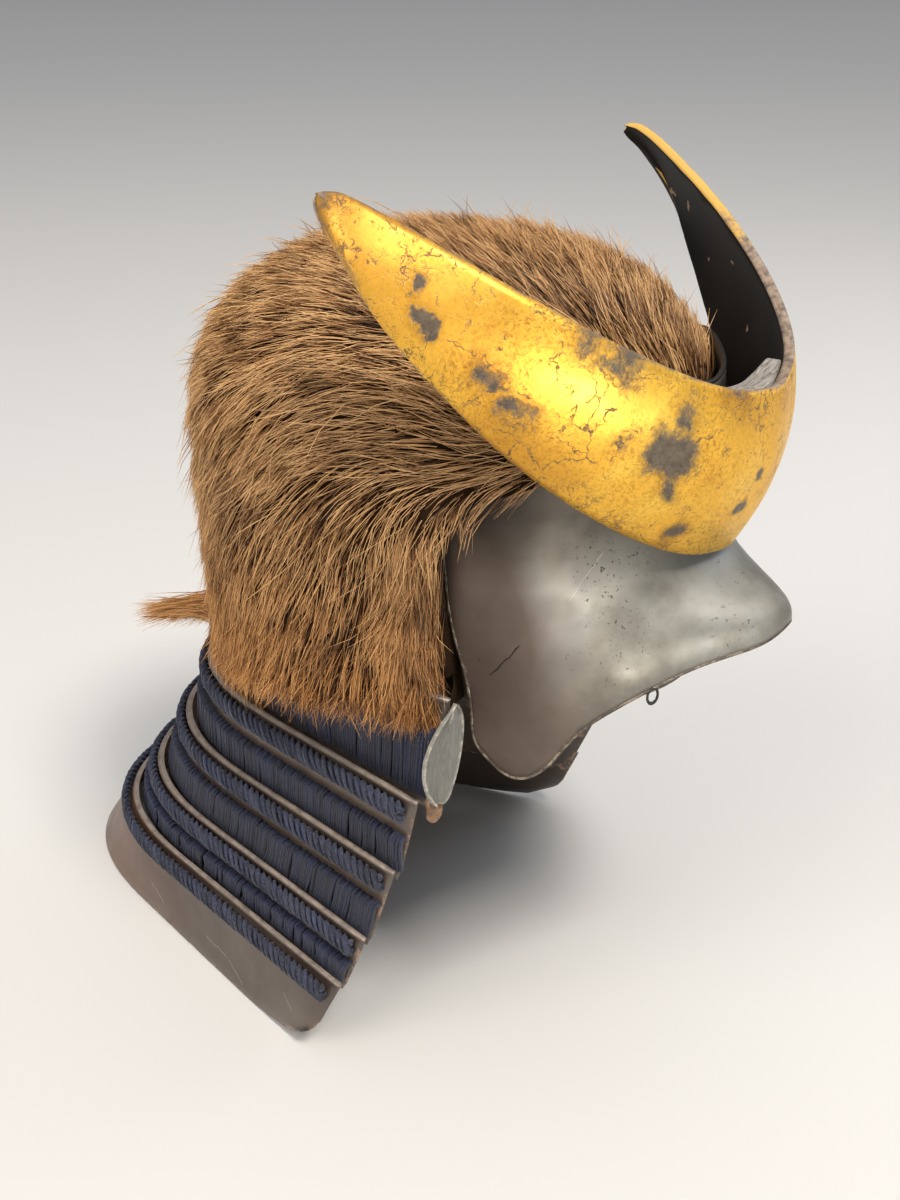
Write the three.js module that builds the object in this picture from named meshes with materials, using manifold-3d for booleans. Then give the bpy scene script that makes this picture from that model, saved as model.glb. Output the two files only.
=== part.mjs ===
// Kabuto samurai helmet, in millimetres. +Z is up, the front faces -Y and the wearer's left is +X.
// The origin is the inside of the iron bowl's crown, where the helmet rests on a head.

import * as THREE from 'three';
import { mergeVertices } from 'three/addons/utils/BufferGeometryUtils.js';
import Module from 'manifold-3d';

const wasm = await Module();
wasm.setup();

// ---- driving dimensions ----

const GAP = 0.4;

const BOWL = {
  halfWidth: 95,
  halfLength: 121,
  centreY: -15,
  crownZ: 2,
  widestZ: -96,
  rimZ: -172,
  squareness: 2.7,
  wall: 2,
  columns: 30,
  rows: 7,
};

const FUR = {
  halfWidth: 113,
  halfLength: 134,
  centreY: -1,
  crownZ: 19,
  widestZ: -70,
  squareness: 2.6,
  columns: 30,
  rows: 8,
};
// Locks stop where the hide ends: in front of crownY over the brow, and in front of sideY below browZ.
const FUR_FRONT = { browZ: -40, crownY: -118, sideY: -44 };

// The fur's outline seen from the side: over the top, then its front edge down to the ear and its hem.
const FUR_OUTLINE = [
  { y: 170, z: 60 },
  { y: -150, z: 60 },
  { y: -150, z: -4 },
  { y: -132, z: -12 },
  { y: -114, z: -42 },
  { y: -96, z: -61 },
  { y: -74, z: -69 },
  { y: -56, z: -72 },
  { y: -58, z: -110 },
  { y: -64, z: -168 },
  { y: 0, z: -177 },
  { y: 60, z: -188 },
  { y: 170, z: -202 },
];

const LOCK = { length: 46, width: 30, rootWidth: 21, bellyAt: 28, rise: 5.5, tipRise: 3.3, root: 4 };
// Rows of locks from the crown down: height, how many across the whole turn and where the first one lies.
const LOCK_ROWS = [
  { z: 14, count: 5, firstTurn: 36 },
  { z: -6, count: 11, firstTurn: 16 },
  { z: -40, count: 14, firstTurn: 13 },
  { z: -80, count: 15, firstTurn: 0 },
  { z: -116, count: 16, firstTurn: 11 },
  { z: -150, count: 17, firstTurn: 5 },
];

// The long tuft that trails from the nape: its root, and sections along it as shares of its length and width.
const TUFT = { x: -46, rootY: 104, z: -191, length: 82, width: 9, depth: 8, droop: 26, sides: 7 };
const TUFT_SECTIONS = [
  { along: 0, share: 1 },
  { along: 0.35, share: 0.8 },
  { along: 0.7, share: 0.58 },
  { along: 1, share: 0 },
];

const CRESCENT = { thickness: 5, tipThickness: 2.6, bulge: 9, centreY: -60 };

// One half of the crescent's outer face, from the middle of the brow to the horn's tip.
const CRESCENT_TOP_EDGE = [
  { x: 0, y: -165, z: -27 },
  { x: 37.3, y: -156.5, z: -20.4 },
  { x: 72.5, y: -131.2, z: -1.4 },
  { x: 101.3, y: -92.9, z: 24.5 },
  { x: 120.2, y: -52, z: 48.2 },
  { x: 125.3, y: -36, z: 55.4 },
  { x: 127, y: -26.5, z: 57.4 },
];
const CRESCENT_LOW_EDGE = [
  { x: 0, y: -149.6, z: -104.5 },
  { x: 34.4, y: -142.8, z: -97.7 },
  { x: 70.4, y: -122.7, z: -76.8 },
  { x: 104.9, y: -93.7, z: -42 },
  { x: 130.1, y: -60.7, z: 3.5 },
  { x: 134.6, y: -43, z: 28.4 },
  { x: 130.4, y: -23, z: 51.5 },
];

const BLOCK = { halfSpan: 2 / 30, depthShare: 0.5, backY: -147, seatGap: 1.2 };

// One half of the visor, a station every few centimetres from the middle to the temple edge. Each strip runs
// down from its top point to the knee, where the shelf starts, then out to its low point, with an upright
// lip. Each point is [x, y, z].
const VISOR_STATIONS = [
  { top: [0, -136, -30], knee: [0, -143, -110], low: [0, -181, -133], lip: 12 },
  { top: [20, -132, -29], knee: [22, -138, -110], low: [16, -175.5, -139], lip: 12 },
  { top: [42, -121, -27], knee: [46, -126, -112], low: [39, -155.5, -145], lip: 12 },
  { top: [61, -107, -25], knee: [66, -111, -116], low: [62, -137, -155.5], lip: 13 },
  { top: [74, -93, -29], knee: [80, -99, -122], low: [78, -118, -171], lip: 15 },
  { top: [81, -81, -38], knee: [88, -89, -127], low: [87, -108, -188], lip: 19 },
  { top: [86, -71, -50], knee: [92, -80, -128], low: [92, -98, -195.5], lip: 22 },
  { top: [89, -62, -62], knee: [94, -70, -126], low: [94, -87, -194], lip: 24 },
  { top: [91, -53, -72], knee: [94, -61, -128], low: [95, -73, -182], lip: 24 },
];
const VISOR_WALL = 2;
const VISOR_GRID = { columns: 32, rows: 6 };
const LIP_LEAN = 0.04;

const VISOR_LOOP = { ring: 2.8, wire: 0.7, x: 56, y: -141.5, z: -158, turn: 35 };

// The neck guard's outer face at the upper rim of each lame and at the last one's hem: its front end, how
// much the sides close in for each millimetre toward the back, where the back stands, and how far behind
// this rim the lame above hangs.
const SKIRT_LEVELS = [
  { z: -160, frontX: 102, frontY: -64, taper: 0.055, backY: 110, step: 0 },
  { z: -213, frontX: 112, frontY: -55, taper: 0.2, backY: 142, step: 10 },
  { z: -255, frontX: 116, frontY: -44, taper: 0.21, backY: 163, step: 6.6 },
  { z: -298, frontX: 122, frontY: -30, taper: 0.23, backY: 191.5, step: 6.6 },
  { z: -330, frontX: 127, frontY: -17, taper: 0.24, backY: 217, step: 6.6 },
  { z: -380, frontX: 134, frontY: 5, taper: 0.27, backY: 255, step: 0 },
];
const SKIRT = { cornerLength: 86, cornerRoundness: 0.66, backShare: 0.62, columns: 26 };
const LAME = {
  wall: 1.6, bead: 1.3, rimRise: 0.4, overlap: 11, cornerRise: 7, cornerShare: 0.05, earReach: 2,
};
const BRAID = { top: 3.2, height: 11.5, thickness: 3.4, edgeShare: 0.4, strands: 30, relief: 0.6, trim: 4 };
const LACING = { firstHeight: 36, gap: 4, thickness: 2.4, folds: 26, relief: 0.4, trim: 2, tuckDown: 3 };

const EAR_PLATE = {
  wall: 1.6, width: 16, cup: 2.2, lean: 0.05, fullness: 0.8, top: [-99, -72, -161], low: [-102, -64, -217],
};
const EAR_TAB = { wall: 1.8, radius: 4.6, length: 12, turn: -0.2, x: -104, y: -58, z: -210 };

// ---- materials ----

function lacquer(name, color, roughness, metalness) {
  return new THREE.MeshStandardMaterial({ name, color, roughness, metalness });
}

const IRON = lacquer('russet_iron', 0x4a403a, 0.45, 0.5);
const LAME_LACQUER = lacquer('brown_lacquer', 0x4b3b30, 0.4, 0.1);
const HAIR = lacquer('brown_hair', 0x7a5636, 0.9, 0);
const GILT = lacquer('worn_gold_leaf', 0xc8942c, 0.4, 0.7);
const WOOD = lacquer('grey_wood', 0x9a9186, 0.8, 0);
const NAVY_SILK = lacquer('navy_silk', 0x1b2340, 0.8, 0);
const BLUE_BRAID = lacquer('blue_braid', 0x3d4657, 0.8, 0);
const SILVERED = lacquer('silvered_plate', 0xa9a9a2, 0.4, 0.6);
const LEATHER = lacquer('tan_leather', 0x9b6b42, 0.7, 0);

// ---- helpers ----

const point = (x, y, z) => new THREE.Vector3(x, y, z);

// A closed geometry from quads of points, with shared points merged and flat triangles dropped.
function closedGeometry(quads) {
  const positions = [];
  const pushTriangle = (a, b, c) => {
    for (const p of [a, b, c]) positions.push(p.x, p.y, p.z);
  };
  for (const [a, b, c, d] of quads) {
    pushTriangle(a, b, c);
    pushTriangle(a, c, d);
  }
  const loose = new THREE.BufferGeometry();
  loose.setAttribute('position', new THREE.Float32BufferAttribute(positions, 3));
  const merged = mergeVertices(loose, 1e-3);
  const index = merged.getIndex();
  const kept = [];
  for (let i = 0; i < index.count; i += 3) {
    const corners = [index.getX(i), index.getX(i + 1), index.getX(i + 2)];
    if (new Set(corners).size === 3) kept.push(...corners);
  }
  merged.setIndex(kept);
  return merged;
}

// A wall between two grids of points, outer(u, v) and inner(u, v), both with u and v from 0 to 1. A ring
// closes on itself in u. Seen from outside, u runs to the right and v runs down.
function wallBetween(outer, inner, columns, rows, ring = false) {
  const grid = (surface) => Array.from({ length: columns + 1 }, (_, i) =>
    Array.from({ length: rows + 1 }, (_, j) => surface(i / columns, j / rows)));
  const out = grid(outer);
  const inn = grid(inner);
  const quads = [];
  for (let i = 0; i < columns; i += 1) {
    for (let j = 0; j < rows; j += 1) {
      quads.push([out[i][j], out[i][j + 1], out[i + 1][j + 1], out[i + 1][j]]);
      quads.push([inn[i][j], inn[i + 1][j], inn[i + 1][j + 1], inn[i][j + 1]]);
    }
    quads.push([out[i][0], out[i + 1][0], inn[i + 1][0], inn[i][0]]);
    quads.push([out[i][rows], inn[i][rows], inn[i + 1][rows], out[i + 1][rows]]);
  }
  if (!ring) {
    for (let j = 0; j < rows; j += 1) {
      quads.push([out[0][j], inn[0][j], inn[0][j + 1], out[0][j + 1]]);
      quads.push([out[columns][j], out[columns][j + 1], inn[columns][j + 1], inn[columns][j]]);
    }
  }
  return closedGeometry(quads);
}

// The point of a surface moved along its own normal; a positive distance is outward.
function offsetSurface(surface, distance) {
  const step = 1e-3;
  return (u, v) => {
    const along = surface(Math.min(u + step, 1), v).sub(surface(Math.max(u - step, 0), v));
    const down = surface(u, Math.min(v + step, 1)).sub(surface(u, Math.max(v - step, 0)));
    const amount = typeof distance === 'function' ? distance(u, v) : distance;
    return surface(u, v).add(down.cross(along).normalize().multiplyScalar(amount));
  };
}

// A smooth line through a list of values, read with t from 0 to 1 over the whole list.
function smoothList(values) {
  const curve = new THREE.SplineCurve(values.map((value, i) => new THREE.Vector2(i, value)));
  return (t) => curve.getPoint(t).y;
}

function mesh(name, geometry, material) {
  const made = new THREE.Mesh(geometry, material);
  made.name = name;
  return made;
}

const mix = (a, b, t) => a + (b - a) * t;
const radians = THREE.MathUtils.degToRad;

// ---- bowl ----

// A point of a dome with an upright lower wall. Turn is in degrees from the front toward the wearer's right,
// so the back is at 180; z is its height and grow moves it outward.
function domePoint(dome, turn, z, grow = 0) {
  const lift = THREE.MathUtils.clamp((z - dome.widestZ) / (dome.crownZ - dome.widestZ), 0, 1);
  const spread = Math.pow(Math.sqrt(1 - lift * lift), 2 / dome.squareness);
  const x = -(dome.halfWidth + grow) * spread * Math.sin(radians(turn));
  const y = dome.centreY - (dome.halfLength + grow) * spread * Math.cos(radians(turn));
  return point(x, y, z);
}

// Heights from the crown down, spaced so that the round top has enough rows.
function domeHeight(dome, hemZ, v) {
  const topShare = 0.65;
  if (v < topShare) {
    const angle = (Math.PI / 2) * (1 - v / topShare);
    return mix(dome.widestZ, dome.crownZ, Math.sin(angle));
  }
  return mix(dome.widestZ, hemZ, (v - topShare) / (1 - topShare));
}

function bowlGeometry() {
  const inside = { ...BOWL, halfWidth: BOWL.halfWidth - BOWL.wall, halfLength: BOWL.halfLength - BOWL.wall };
  inside.crownZ = BOWL.crownZ - BOWL.wall;
  const outer = (u, v) => domePoint(BOWL, -360 * u, domeHeight(BOWL, BOWL.rimZ, v));
  const inner = (u, v) => domePoint(inside, -360 * u, domeHeight(inside, BOWL.rimZ, v));
  return wallBetween(outer, inner, BOWL.columns, BOWL.rows, true);
}

// ---- crescent and its block ----

// A smooth line along one edge table, with t from 0 in the middle to 1 at the horn's tip.
function edgeLine(table) {
  const [x, y, z] = ['x', 'y', 'z'].map((axis) => smoothList(table.map((row) => row[axis])));
  return (t) => point(x(t), y(t), z(t));
}

const crescentTop = edgeLine(CRESCENT_TOP_EDGE);
const crescentLow = edgeLine(CRESCENT_LOW_EDGE);

// The crescent's gilt face: u runs from the wearer's right horn to the left one, v from its top edge down.
function crescentFace(u, v) {
  const side = 2 * u - 1;
  const reach = Math.abs(side);
  const p = crescentTop(reach).lerp(crescentLow(reach), v);
  p.x *= Math.sign(side);
  const swell = CRESCENT.bulge * (1 - reach ** 4) * 4 * v * (1 - v);
  const outward = point(p.x, p.y - CRESCENT.centreY, 0).normalize();
  return p.addScaledVector(outward, swell);
}

function crescentThickness(u) {
  return mix(CRESCENT.thickness, CRESCENT.tipThickness, Math.abs(2 * u - 1) ** 3);
}

const crescentBack = offsetSurface(crescentFace, (u) => -crescentThickness(u));

function crescentGeometry() {
  return wallBetween(crescentFace, crescentBack, 30, 4);
}

function blockGeometry() {
  const seat = offsetSurface(crescentFace, (u) => -crescentThickness(u) - BLOCK.seatGap);
  const front = (u, v) => seat(0.5 + BLOCK.halfSpan * (2 * u - 1), BLOCK.depthShare * v);
  const back = (u, v) => {
    const p = front(u, v);
    return point(p.x, BLOCK.backY, p.z);
  };
  return wallBetween(front, back, 4, 2);
}

// ---- visor ----

// A smooth line through one point of every station, with t from 0 in the middle to 1 at the temple.
function stationLine(column) {
  const line = (axis) => smoothList(VISOR_STATIONS.map((station) => station[column][axis]));
  const [x, y, z] = [0, 1, 2].map(line);
  return (t) => point(x(t), y(t), z(t));
}

const visorTop = stationLine('top');
const visorKnee = stationLine('knee');
const visorLow = stationLine('low');
const visorLip = smoothList(VISOR_STATIONS.map((station) => station.lip));

// The visor's outer face: u from the wearer's right temple to the left one, v from the top edge down.
function visorFace(u, v) {
  const side = 2 * u - 1;
  const reach = Math.abs(side);
  const top = visorTop(reach);
  const knee = visorKnee(reach);
  const low = visorLow(reach);
  const lip = low.clone().lerp(knee, LIP_LEAN).setZ(low.z + visorLip(reach));
  const strip = new THREE.CatmullRomCurve3([top, top.clone().lerp(knee, 0.5), knee, lip, low]);
  const p = strip.getPoint(v);
  p.x *= Math.sign(side);
  return p;
}

function visorGeometry() {
  const inside = offsetSurface(visorFace, -VISOR_WALL);
  return wallBetween(visorFace, inside, VISOR_GRID.columns, VISOR_GRID.rows);
}

function visorLoop(name, side) {
  const loop = mesh(name, new THREE.TorusGeometry(VISOR_LOOP.ring, VISOR_LOOP.wire, 5, 9), IRON);
  loop.position.set(side * VISOR_LOOP.x, VISOR_LOOP.y, VISOR_LOOP.z);
  loop.rotation.set(Math.PI / 2, side * radians(VISOR_LOOP.turn), 0);
  return loop;
}

// ---- neck guard ----

const skirtHeights = SKIRT_LEVELS.map((level) => level.z);
const lameCount = skirtHeights.length - 1;

// The neck guard's outer face at any height, read between its levels.
function skirtAt(z) {
  const below = skirtHeights.findIndex((height) => height <= z);
  const k = below < 0 ? lameCount : Math.max(below, 1);
  const t = (z - skirtHeights[k - 1]) / (skirtHeights[k] - skirtHeights[k - 1]);
  const level = {};
  for (const column of Object.keys(SKIRT_LEVELS[0])) {
    level[column] = mix(SKIRT_LEVELS[k - 1][column], SKIRT_LEVELS[k][column], t);
  }
  return level;
}

// A point on the horseshoe round the neck: u from the wearer's left front end round the back to the right
// one. Each side runs back in a straight line, then rounds a corner onto the back.
function skirtPoint(u, z, out, trim = 0) {
  const level = skirtAt(z);
  const side = 2 * u - 1;
  const backY = level.backY + out;
  const sideX = (y) => level.frontX + out - level.taper * (y - level.frontY);
  const cornerY = backY - SKIRT.cornerLength;
  const reach = Math.abs(side);
  if (reach > SKIRT.backShare) {
    const along = (reach - SKIRT.backShare) / (1 - SKIRT.backShare);
    const y = mix(cornerY, level.frontY + trim, along);
    return point(-Math.sign(side) * sideX(y), y, z);
  }
  const start = new THREE.Vector2(sideX(cornerY), cornerY);
  const corner = new THREE.Vector2(sideX(backY), backY);
  const end = new THREE.Vector2(0, backY);
  const first = start.clone().lerp(corner, SKIRT.cornerRoundness);
  const second = end.clone().lerp(corner, SKIRT.cornerRoundness);
  const p = new THREE.CubicBezierCurve(start, first, second, end).getPoint(1 - reach / SKIRT.backShare);
  return point(-Math.sign(side) * p.x, p.y, z);
}

// How far a lame's outer face has sunk under the neck guard's face at a height below its own rim.
function lameSink(k, z) {
  const fall = (skirtHeights[k - 1] - z) / (skirtHeights[k - 1] - skirtHeights[k]);
  return -SKIRT_LEVELS[k].step * Math.max(fall, 0);
}

// A band round the neck from a table of rows: its height, and how far in and out it stands from the neck
// guard's face. The trim shortens both front ends, and shape moves single points.
function neckBand(rows, trim, shape = () => ({ out: 0, z: 0 })) {
  const surface = (face) => (u, v) => {
    const row = rows[Math.round(v * (rows.length - 1))];
    const extra = shape(u, v, face);
    return skirtPoint(u, row.z + extra.z, row[face] + extra.out, trim);
  };
  return wallBetween(surface('outer'), surface('inner'), SKIRT.columns, rows.length - 1);
}

function lameRows(k) {
  const top = skirtHeights[k - 1];
  const bottom = k === lameCount ? skirtHeights[k] : skirtHeights[k] - LAME.overlap;
  const knee = k === lameCount ? mix(top, bottom, 0.5) : skirtHeights[k];
  const plain = (z) => ({ z, inner: lameSink(k, z) - LAME.wall, outer: lameSink(k, z) });
  return [
    { z: top, inner: -LAME.wall, outer: LAME.rimRise },
    { z: top - LAME.bead, inner: -LAME.wall, outer: LAME.bead },
    plain(top - 2 * LAME.bead),
    plain(mix(top, knee, 0.5)),
    plain(knee),
    plain(bottom),
  ];
}

// The last lame's lower front corners are rounded: its bottom edge rises near both ends.
function lastLameShape(u, v) {
  const end = Math.max(0, 1 - (1 - Math.abs(2 * u - 1)) / LAME.cornerShare);
  return { out: 0, z: LAME.cornerRise * end * end * v ** 3 };
}

function lameGeometry(k) {
  const trim = k === 1 ? -LAME.earReach : 0;
  return neckBand(lameRows(k), trim, k === lameCount ? lastLameShape : undefined);
}

// The braid that shows just under each rim, with slanting strands.
function braidGeometry(k) {
  const top = skirtHeights[k - 1] - BRAID.top;
  const rows = [0, 0.5, 1].map((v) => {
    const z = top - BRAID.height * v;
    const face = lameSink(k, z) + GAP;
    return { z, inner: face, outer: face + BRAID.thickness * (v === 0.5 ? 1 : BRAID.edgeShare) };
  });
  const twist = (u, v, face) => {
    const wave = Math.sin(2 * Math.PI * (BRAID.strands * u + 0.5 * v));
    return { out: face === 'outer' ? BRAID.relief * wave : 0, z: 0 };
  };
  return neckBand(rows, BRAID.trim, twist);
}

// The close upright lacing that drops from one lame and passes behind the next one's rim.
function lacingGeometry(k) {
  const braidFoot = skirtHeights[k - 1] - BRAID.top - BRAID.height;
  const head = k === 1 ? skirtHeights[k] + LACING.firstHeight : braidFoot - LACING.gap;
  const rows = [head, skirtHeights[k] - LACING.tuckDown].map((z) => {
    const face = lameSink(k, z) + 2 * GAP;
    return { z, inner: face, outer: face + LACING.thickness };
  });
  const folds = (u, v, face) => {
    const wave = Math.cos(2 * Math.PI * LACING.folds * u);
    return { out: face === 'outer' ? LACING.relief * wave - LACING.relief : 0, z: 0 };
  };
  return neckBand(rows, LACING.trim, folds);
}

// ---- ear plates ----

// A leaf-shaped plate that stands out sideways from the front end of the first lame, hollowed to the front.
function earPlateGeometry() {
  const top = point(...EAR_PLATE.top);
  const low = point(...EAR_PLATE.low);
  const outward = point(-1, EAR_PLATE.lean, 0);
  const leaf = (u, v) => {
    const width = EAR_PLATE.width * Math.sin(Math.PI * mix(0.04, 0.93, v)) ** EAR_PLATE.fullness;
    const cup = EAR_PLATE.cup * Math.sin(Math.PI * u);
    return top.clone().lerp(low, v).addScaledVector(outward, width * (1 - u)).add(point(0, cup, 0));
  };
  return wallBetween(leaf, offsetSurface(leaf, -EAR_PLATE.wall), 4, 6);
}

// The rounded leather tongue that shows under the ear plate's lower tip.
function earTabGeometry() {
  const tongue = new THREE.Shape();
  tongue.moveTo(EAR_TAB.radius, 0);
  tongue.lineTo(-EAR_TAB.radius, 0);
  tongue.lineTo(-EAR_TAB.radius, -EAR_TAB.length);
  tongue.absarc(0, -EAR_TAB.length, EAR_TAB.radius, Math.PI, 2 * Math.PI, false);
  const options = { depth: EAR_TAB.wall, bevelEnabled: false, curveSegments: 5 };
  return new THREE.ExtrudeGeometry(tongue, options).rotateX(Math.PI / 2).rotateZ(EAR_TAB.turn)
    .translate(EAR_TAB.x, EAR_TAB.y, EAR_TAB.z);
}

// The same piece on the wearer's other side.
function mirrored(geometry) {
  const copy = geometry.clone().scale(-1, 1, 1);
  const index = copy.getIndex();
  if (!index) return mirrored(mergeVertices(geometry));
  const flipped = [];
  for (let i = 0; i < index.count; i += 3) flipped.push(index.getX(i), index.getX(i + 2), index.getX(i + 1));
  return copy.setIndex(flipped);
}

// ---- fur ----

function solidOf(geometry) {
  const bare = geometry.clone();
  bare.deleteAttribute('normal');
  bare.deleteAttribute('uv');
  const merged = mergeVertices(bare, 1e-4);
  const vertProperties = merged.attributes.position.array;
  const triVerts = new Uint32Array(merged.index.array);
  return new wasm.Manifold(new wasm.Mesh({ numProp: 3, vertProperties, triVerts }));
}

function geometryOf(solid) {
  const { vertProperties, triVerts } = solid.getMesh();
  const geometry = new THREE.BufferGeometry();
  geometry.setAttribute('position', new THREE.BufferAttribute(vertProperties, 3));
  return geometry.setIndex(new THREE.BufferAttribute(triVerts, 1));
}

// A dome filled down to a flat bottom.
function solidDome(dome, bottomZ, grow, columns, rows) {
  const outer = (u, v) => domePoint(dome, -360 * u, domeHeight(dome, bottomZ, v), grow);
  const core = (u, v) => point(0, dome.centreY, domeHeight(dome, bottomZ, v));
  return solidOf(wallBetween(outer, core, columns, rows, true));
}

// One lock: a low three-sided wedge that starts in the backing and lifts toward its pointed tip.
function lockGeometry(root, normal, flow) {
  const across = flow.clone().cross(normal).normalize();
  const ring = (along, halfWidth, rise) => {
    const centre = root.clone().addScaledVector(flow, along);
    return [
      centre.clone().addScaledVector(across, halfWidth).addScaledVector(normal, -LOCK.root),
      centre.clone().addScaledVector(normal, rise),
      centre.clone().addScaledVector(across, -halfWidth).addScaledVector(normal, -LOCK.root),
    ];
  };
  const back = ring(0, LOCK.rootWidth / 2, 0);
  const middle = ring(LOCK.bellyAt, LOCK.width / 2, LOCK.rise);
  const tip = root.clone().addScaledVector(flow, LOCK.length).addScaledVector(normal, LOCK.tipRise);
  const quads = [[back[0], back[1], back[2], back[2]]];
  for (let k = 0; k < 3; k += 1) {
    const next = (k + 1) % 3;
    quads.push([back[next], back[k], middle[k], middle[next]]);
    quads.push([middle[next], middle[k], tip, tip]);
  }
  return closedGeometry(quads);
}

// Hair lies back over the crown and turns down on the sides and the nape.
function hairFlow(p, normal) {
  const down = THREE.MathUtils.smoothstep(-p.z, 5, 95);
  const flow = point(0, 1.05 - down, -down);
  return flow.addScaledVector(normal, -flow.dot(normal)).normalize();
}

// True where the hide runs on for a lock's length: not over the visor.
function hasFur(p) {
  return p.z > FUR_FRONT.browZ ? p.y > FUR_FRONT.crownY : p.y > FUR_FRONT.sideY;
}

function furLocks() {
  const locks = [];
  for (const row of LOCK_ROWS) {
    for (let i = 0; i < row.count; i += 1) {
      const turn = row.firstTurn + (360 * i) / row.count;
      const p = domePoint(FUR, turn, row.z);
      if (!hasFur(p)) continue;
      const along = domePoint(FUR, turn + 0.5, row.z).sub(domePoint(FUR, turn - 0.5, row.z));
      const down = domePoint(FUR, turn, row.z - 0.5).sub(domePoint(FUR, turn, row.z + 0.5));
      const normal = along.cross(down).normalize();
      locks.push(solidOf(lockGeometry(p, normal, hairFlow(p, normal))));
    }
  }
  return locks;
}

function tuftGeometry() {
  const centre = ({ along }) =>
    point(TUFT.x, TUFT.rootY + TUFT.length * along, TUFT.z - TUFT.droop * along);
  const section = (v) => TUFT_SECTIONS[Math.round(v * (TUFT_SECTIONS.length - 1))];
  const skin = (u, v) => {
    const angle = (-2 * Math.PI * (Math.round(u * TUFT.sides) % TUFT.sides)) / TUFT.sides;
    const { share } = section(v);
    const rim = point(TUFT.width * share * Math.sin(angle), 0, TUFT.depth * share * Math.cos(angle));
    return rim.add(centre(section(v)));
  };
  const core = (u, v) => centre(section(v));
  return wallBetween(skin, core, TUFT.sides, TUFT_SECTIONS.length - 1, true);
}

function furOutlineSolid() {
  const outline = new THREE.Shape(FUR_OUTLINE.map(({ y, z }) => new THREE.Vector2(y, z)));
  const reach = 1.4 * FUR.halfWidth;
  const slab = new THREE.ExtrudeGeometry(outline, { depth: 2 * reach, bevelEnabled: false });
  slab.applyMatrix4(new THREE.Matrix4().makeBasis(point(0, 1, 0), point(0, 0, 1), point(1, 0, 0)));
  return solidOf(slab.translate(-reach, 0, 0));
}

// The room that the bowl, the first lame and the visor take up under the fur, with a gap added.
function underFur() {
  const gap = 1.5 * GAP;
  const bowl = solidDome({ ...BOWL, crownZ: BOWL.crownZ + gap }, BOWL.rimZ, gap, BOWL.columns, BOWL.rows);
  const belowBowl = bowl.translate([0, 0, BOWL.rimZ / 4]);
  const heights = [skirtHeights[0] + 8, skirtHeights[1]];
  const ring = (u, v) => skirtPoint(u, heights[Math.round(v)], LACING.thickness + 3 * GAP, -4);
  const middle = (u, v) => point(0, 0, heights[Math.round(v)]);
  const skirt = solidOf(wallBetween(ring, middle, SKIRT.columns, 1));
  const visorFront = offsetSurface(visorFace, 2 * gap);
  const visorBack = offsetSurface(visorFace, -VISOR_WALL - 2 * gap);
  const visor = solidOf(wallBetween(visorFront, visorBack, VISOR_GRID.columns, VISOR_GRID.rows));
  const pastItsEdges = visor.translate([0, 2 * gap, 2 * gap]);
  return [bowl, belowBowl, skirt, visor, pastItsEdges];
}

function furGeometry() {
  const backing = solidDome(FUR, 3 * FUR.widestZ, 0, FUR.columns, FUR.rows).intersect(furOutlineSolid());
  const grown = wasm.Manifold.union([backing, ...furLocks(), solidOf(tuftGeometry())]);
  const hollowed = underFur().reduce((solid, piece) => solid.subtract(piece), grown);
  const pieces = hollowed.decompose().sort((a, b) => b.volume() - a.volume());
  return geometryOf(pieces[0]);
}

// ---- assembly ----

const helmet = new THREE.Group();
helmet.add(mesh('bowl', bowlGeometry(), IRON));
helmet.add(mesh('fur', furGeometry(), HAIR));
helmet.add(mesh('crescent', crescentGeometry(), GILT));
helmet.add(mesh('crescent_block', blockGeometry(), WOOD));
helmet.add(mesh('visor', visorGeometry(), IRON));
helmet.add(visorLoop('visor_loop_right', -1), visorLoop('visor_loop_left', 1));
helmet.add(mesh('ear_plate_right', earPlateGeometry(), SILVERED));
helmet.add(mesh('ear_plate_left', mirrored(earPlateGeometry()), SILVERED));
helmet.add(mesh('ear_tab_right', earTabGeometry(), LEATHER));
helmet.add(mesh('ear_tab_left', mirrored(earTabGeometry()), LEATHER));
for (let k = 1; k <= lameCount; k += 1) {
  helmet.add(mesh(`lame_${k}`, lameGeometry(k), LAME_LACQUER));
}
for (let k = 1; k < lameCount; k += 1) {
  helmet.add(mesh(`lacing_${k}`, lacingGeometry(k), NAVY_SILK));
  helmet.add(mesh(`braid_${k + 1}`, braidGeometry(k + 1), BLUE_BRAID));
}

export default helmet;
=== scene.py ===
# Kabuto samurai helmet: an iron bowl dressed in boar hide, with a visor, a gilt crescent and a laced
# neck guard.
# Metres, +Z up, front toward -Y, the wearer's left toward +X.

import math

import bmesh
import bpy
import numpy as np
from mathutils import Matrix, Vector
from mathutils.bvhtree import BVHTree
from mathutils.kdtree import KDTree


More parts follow.
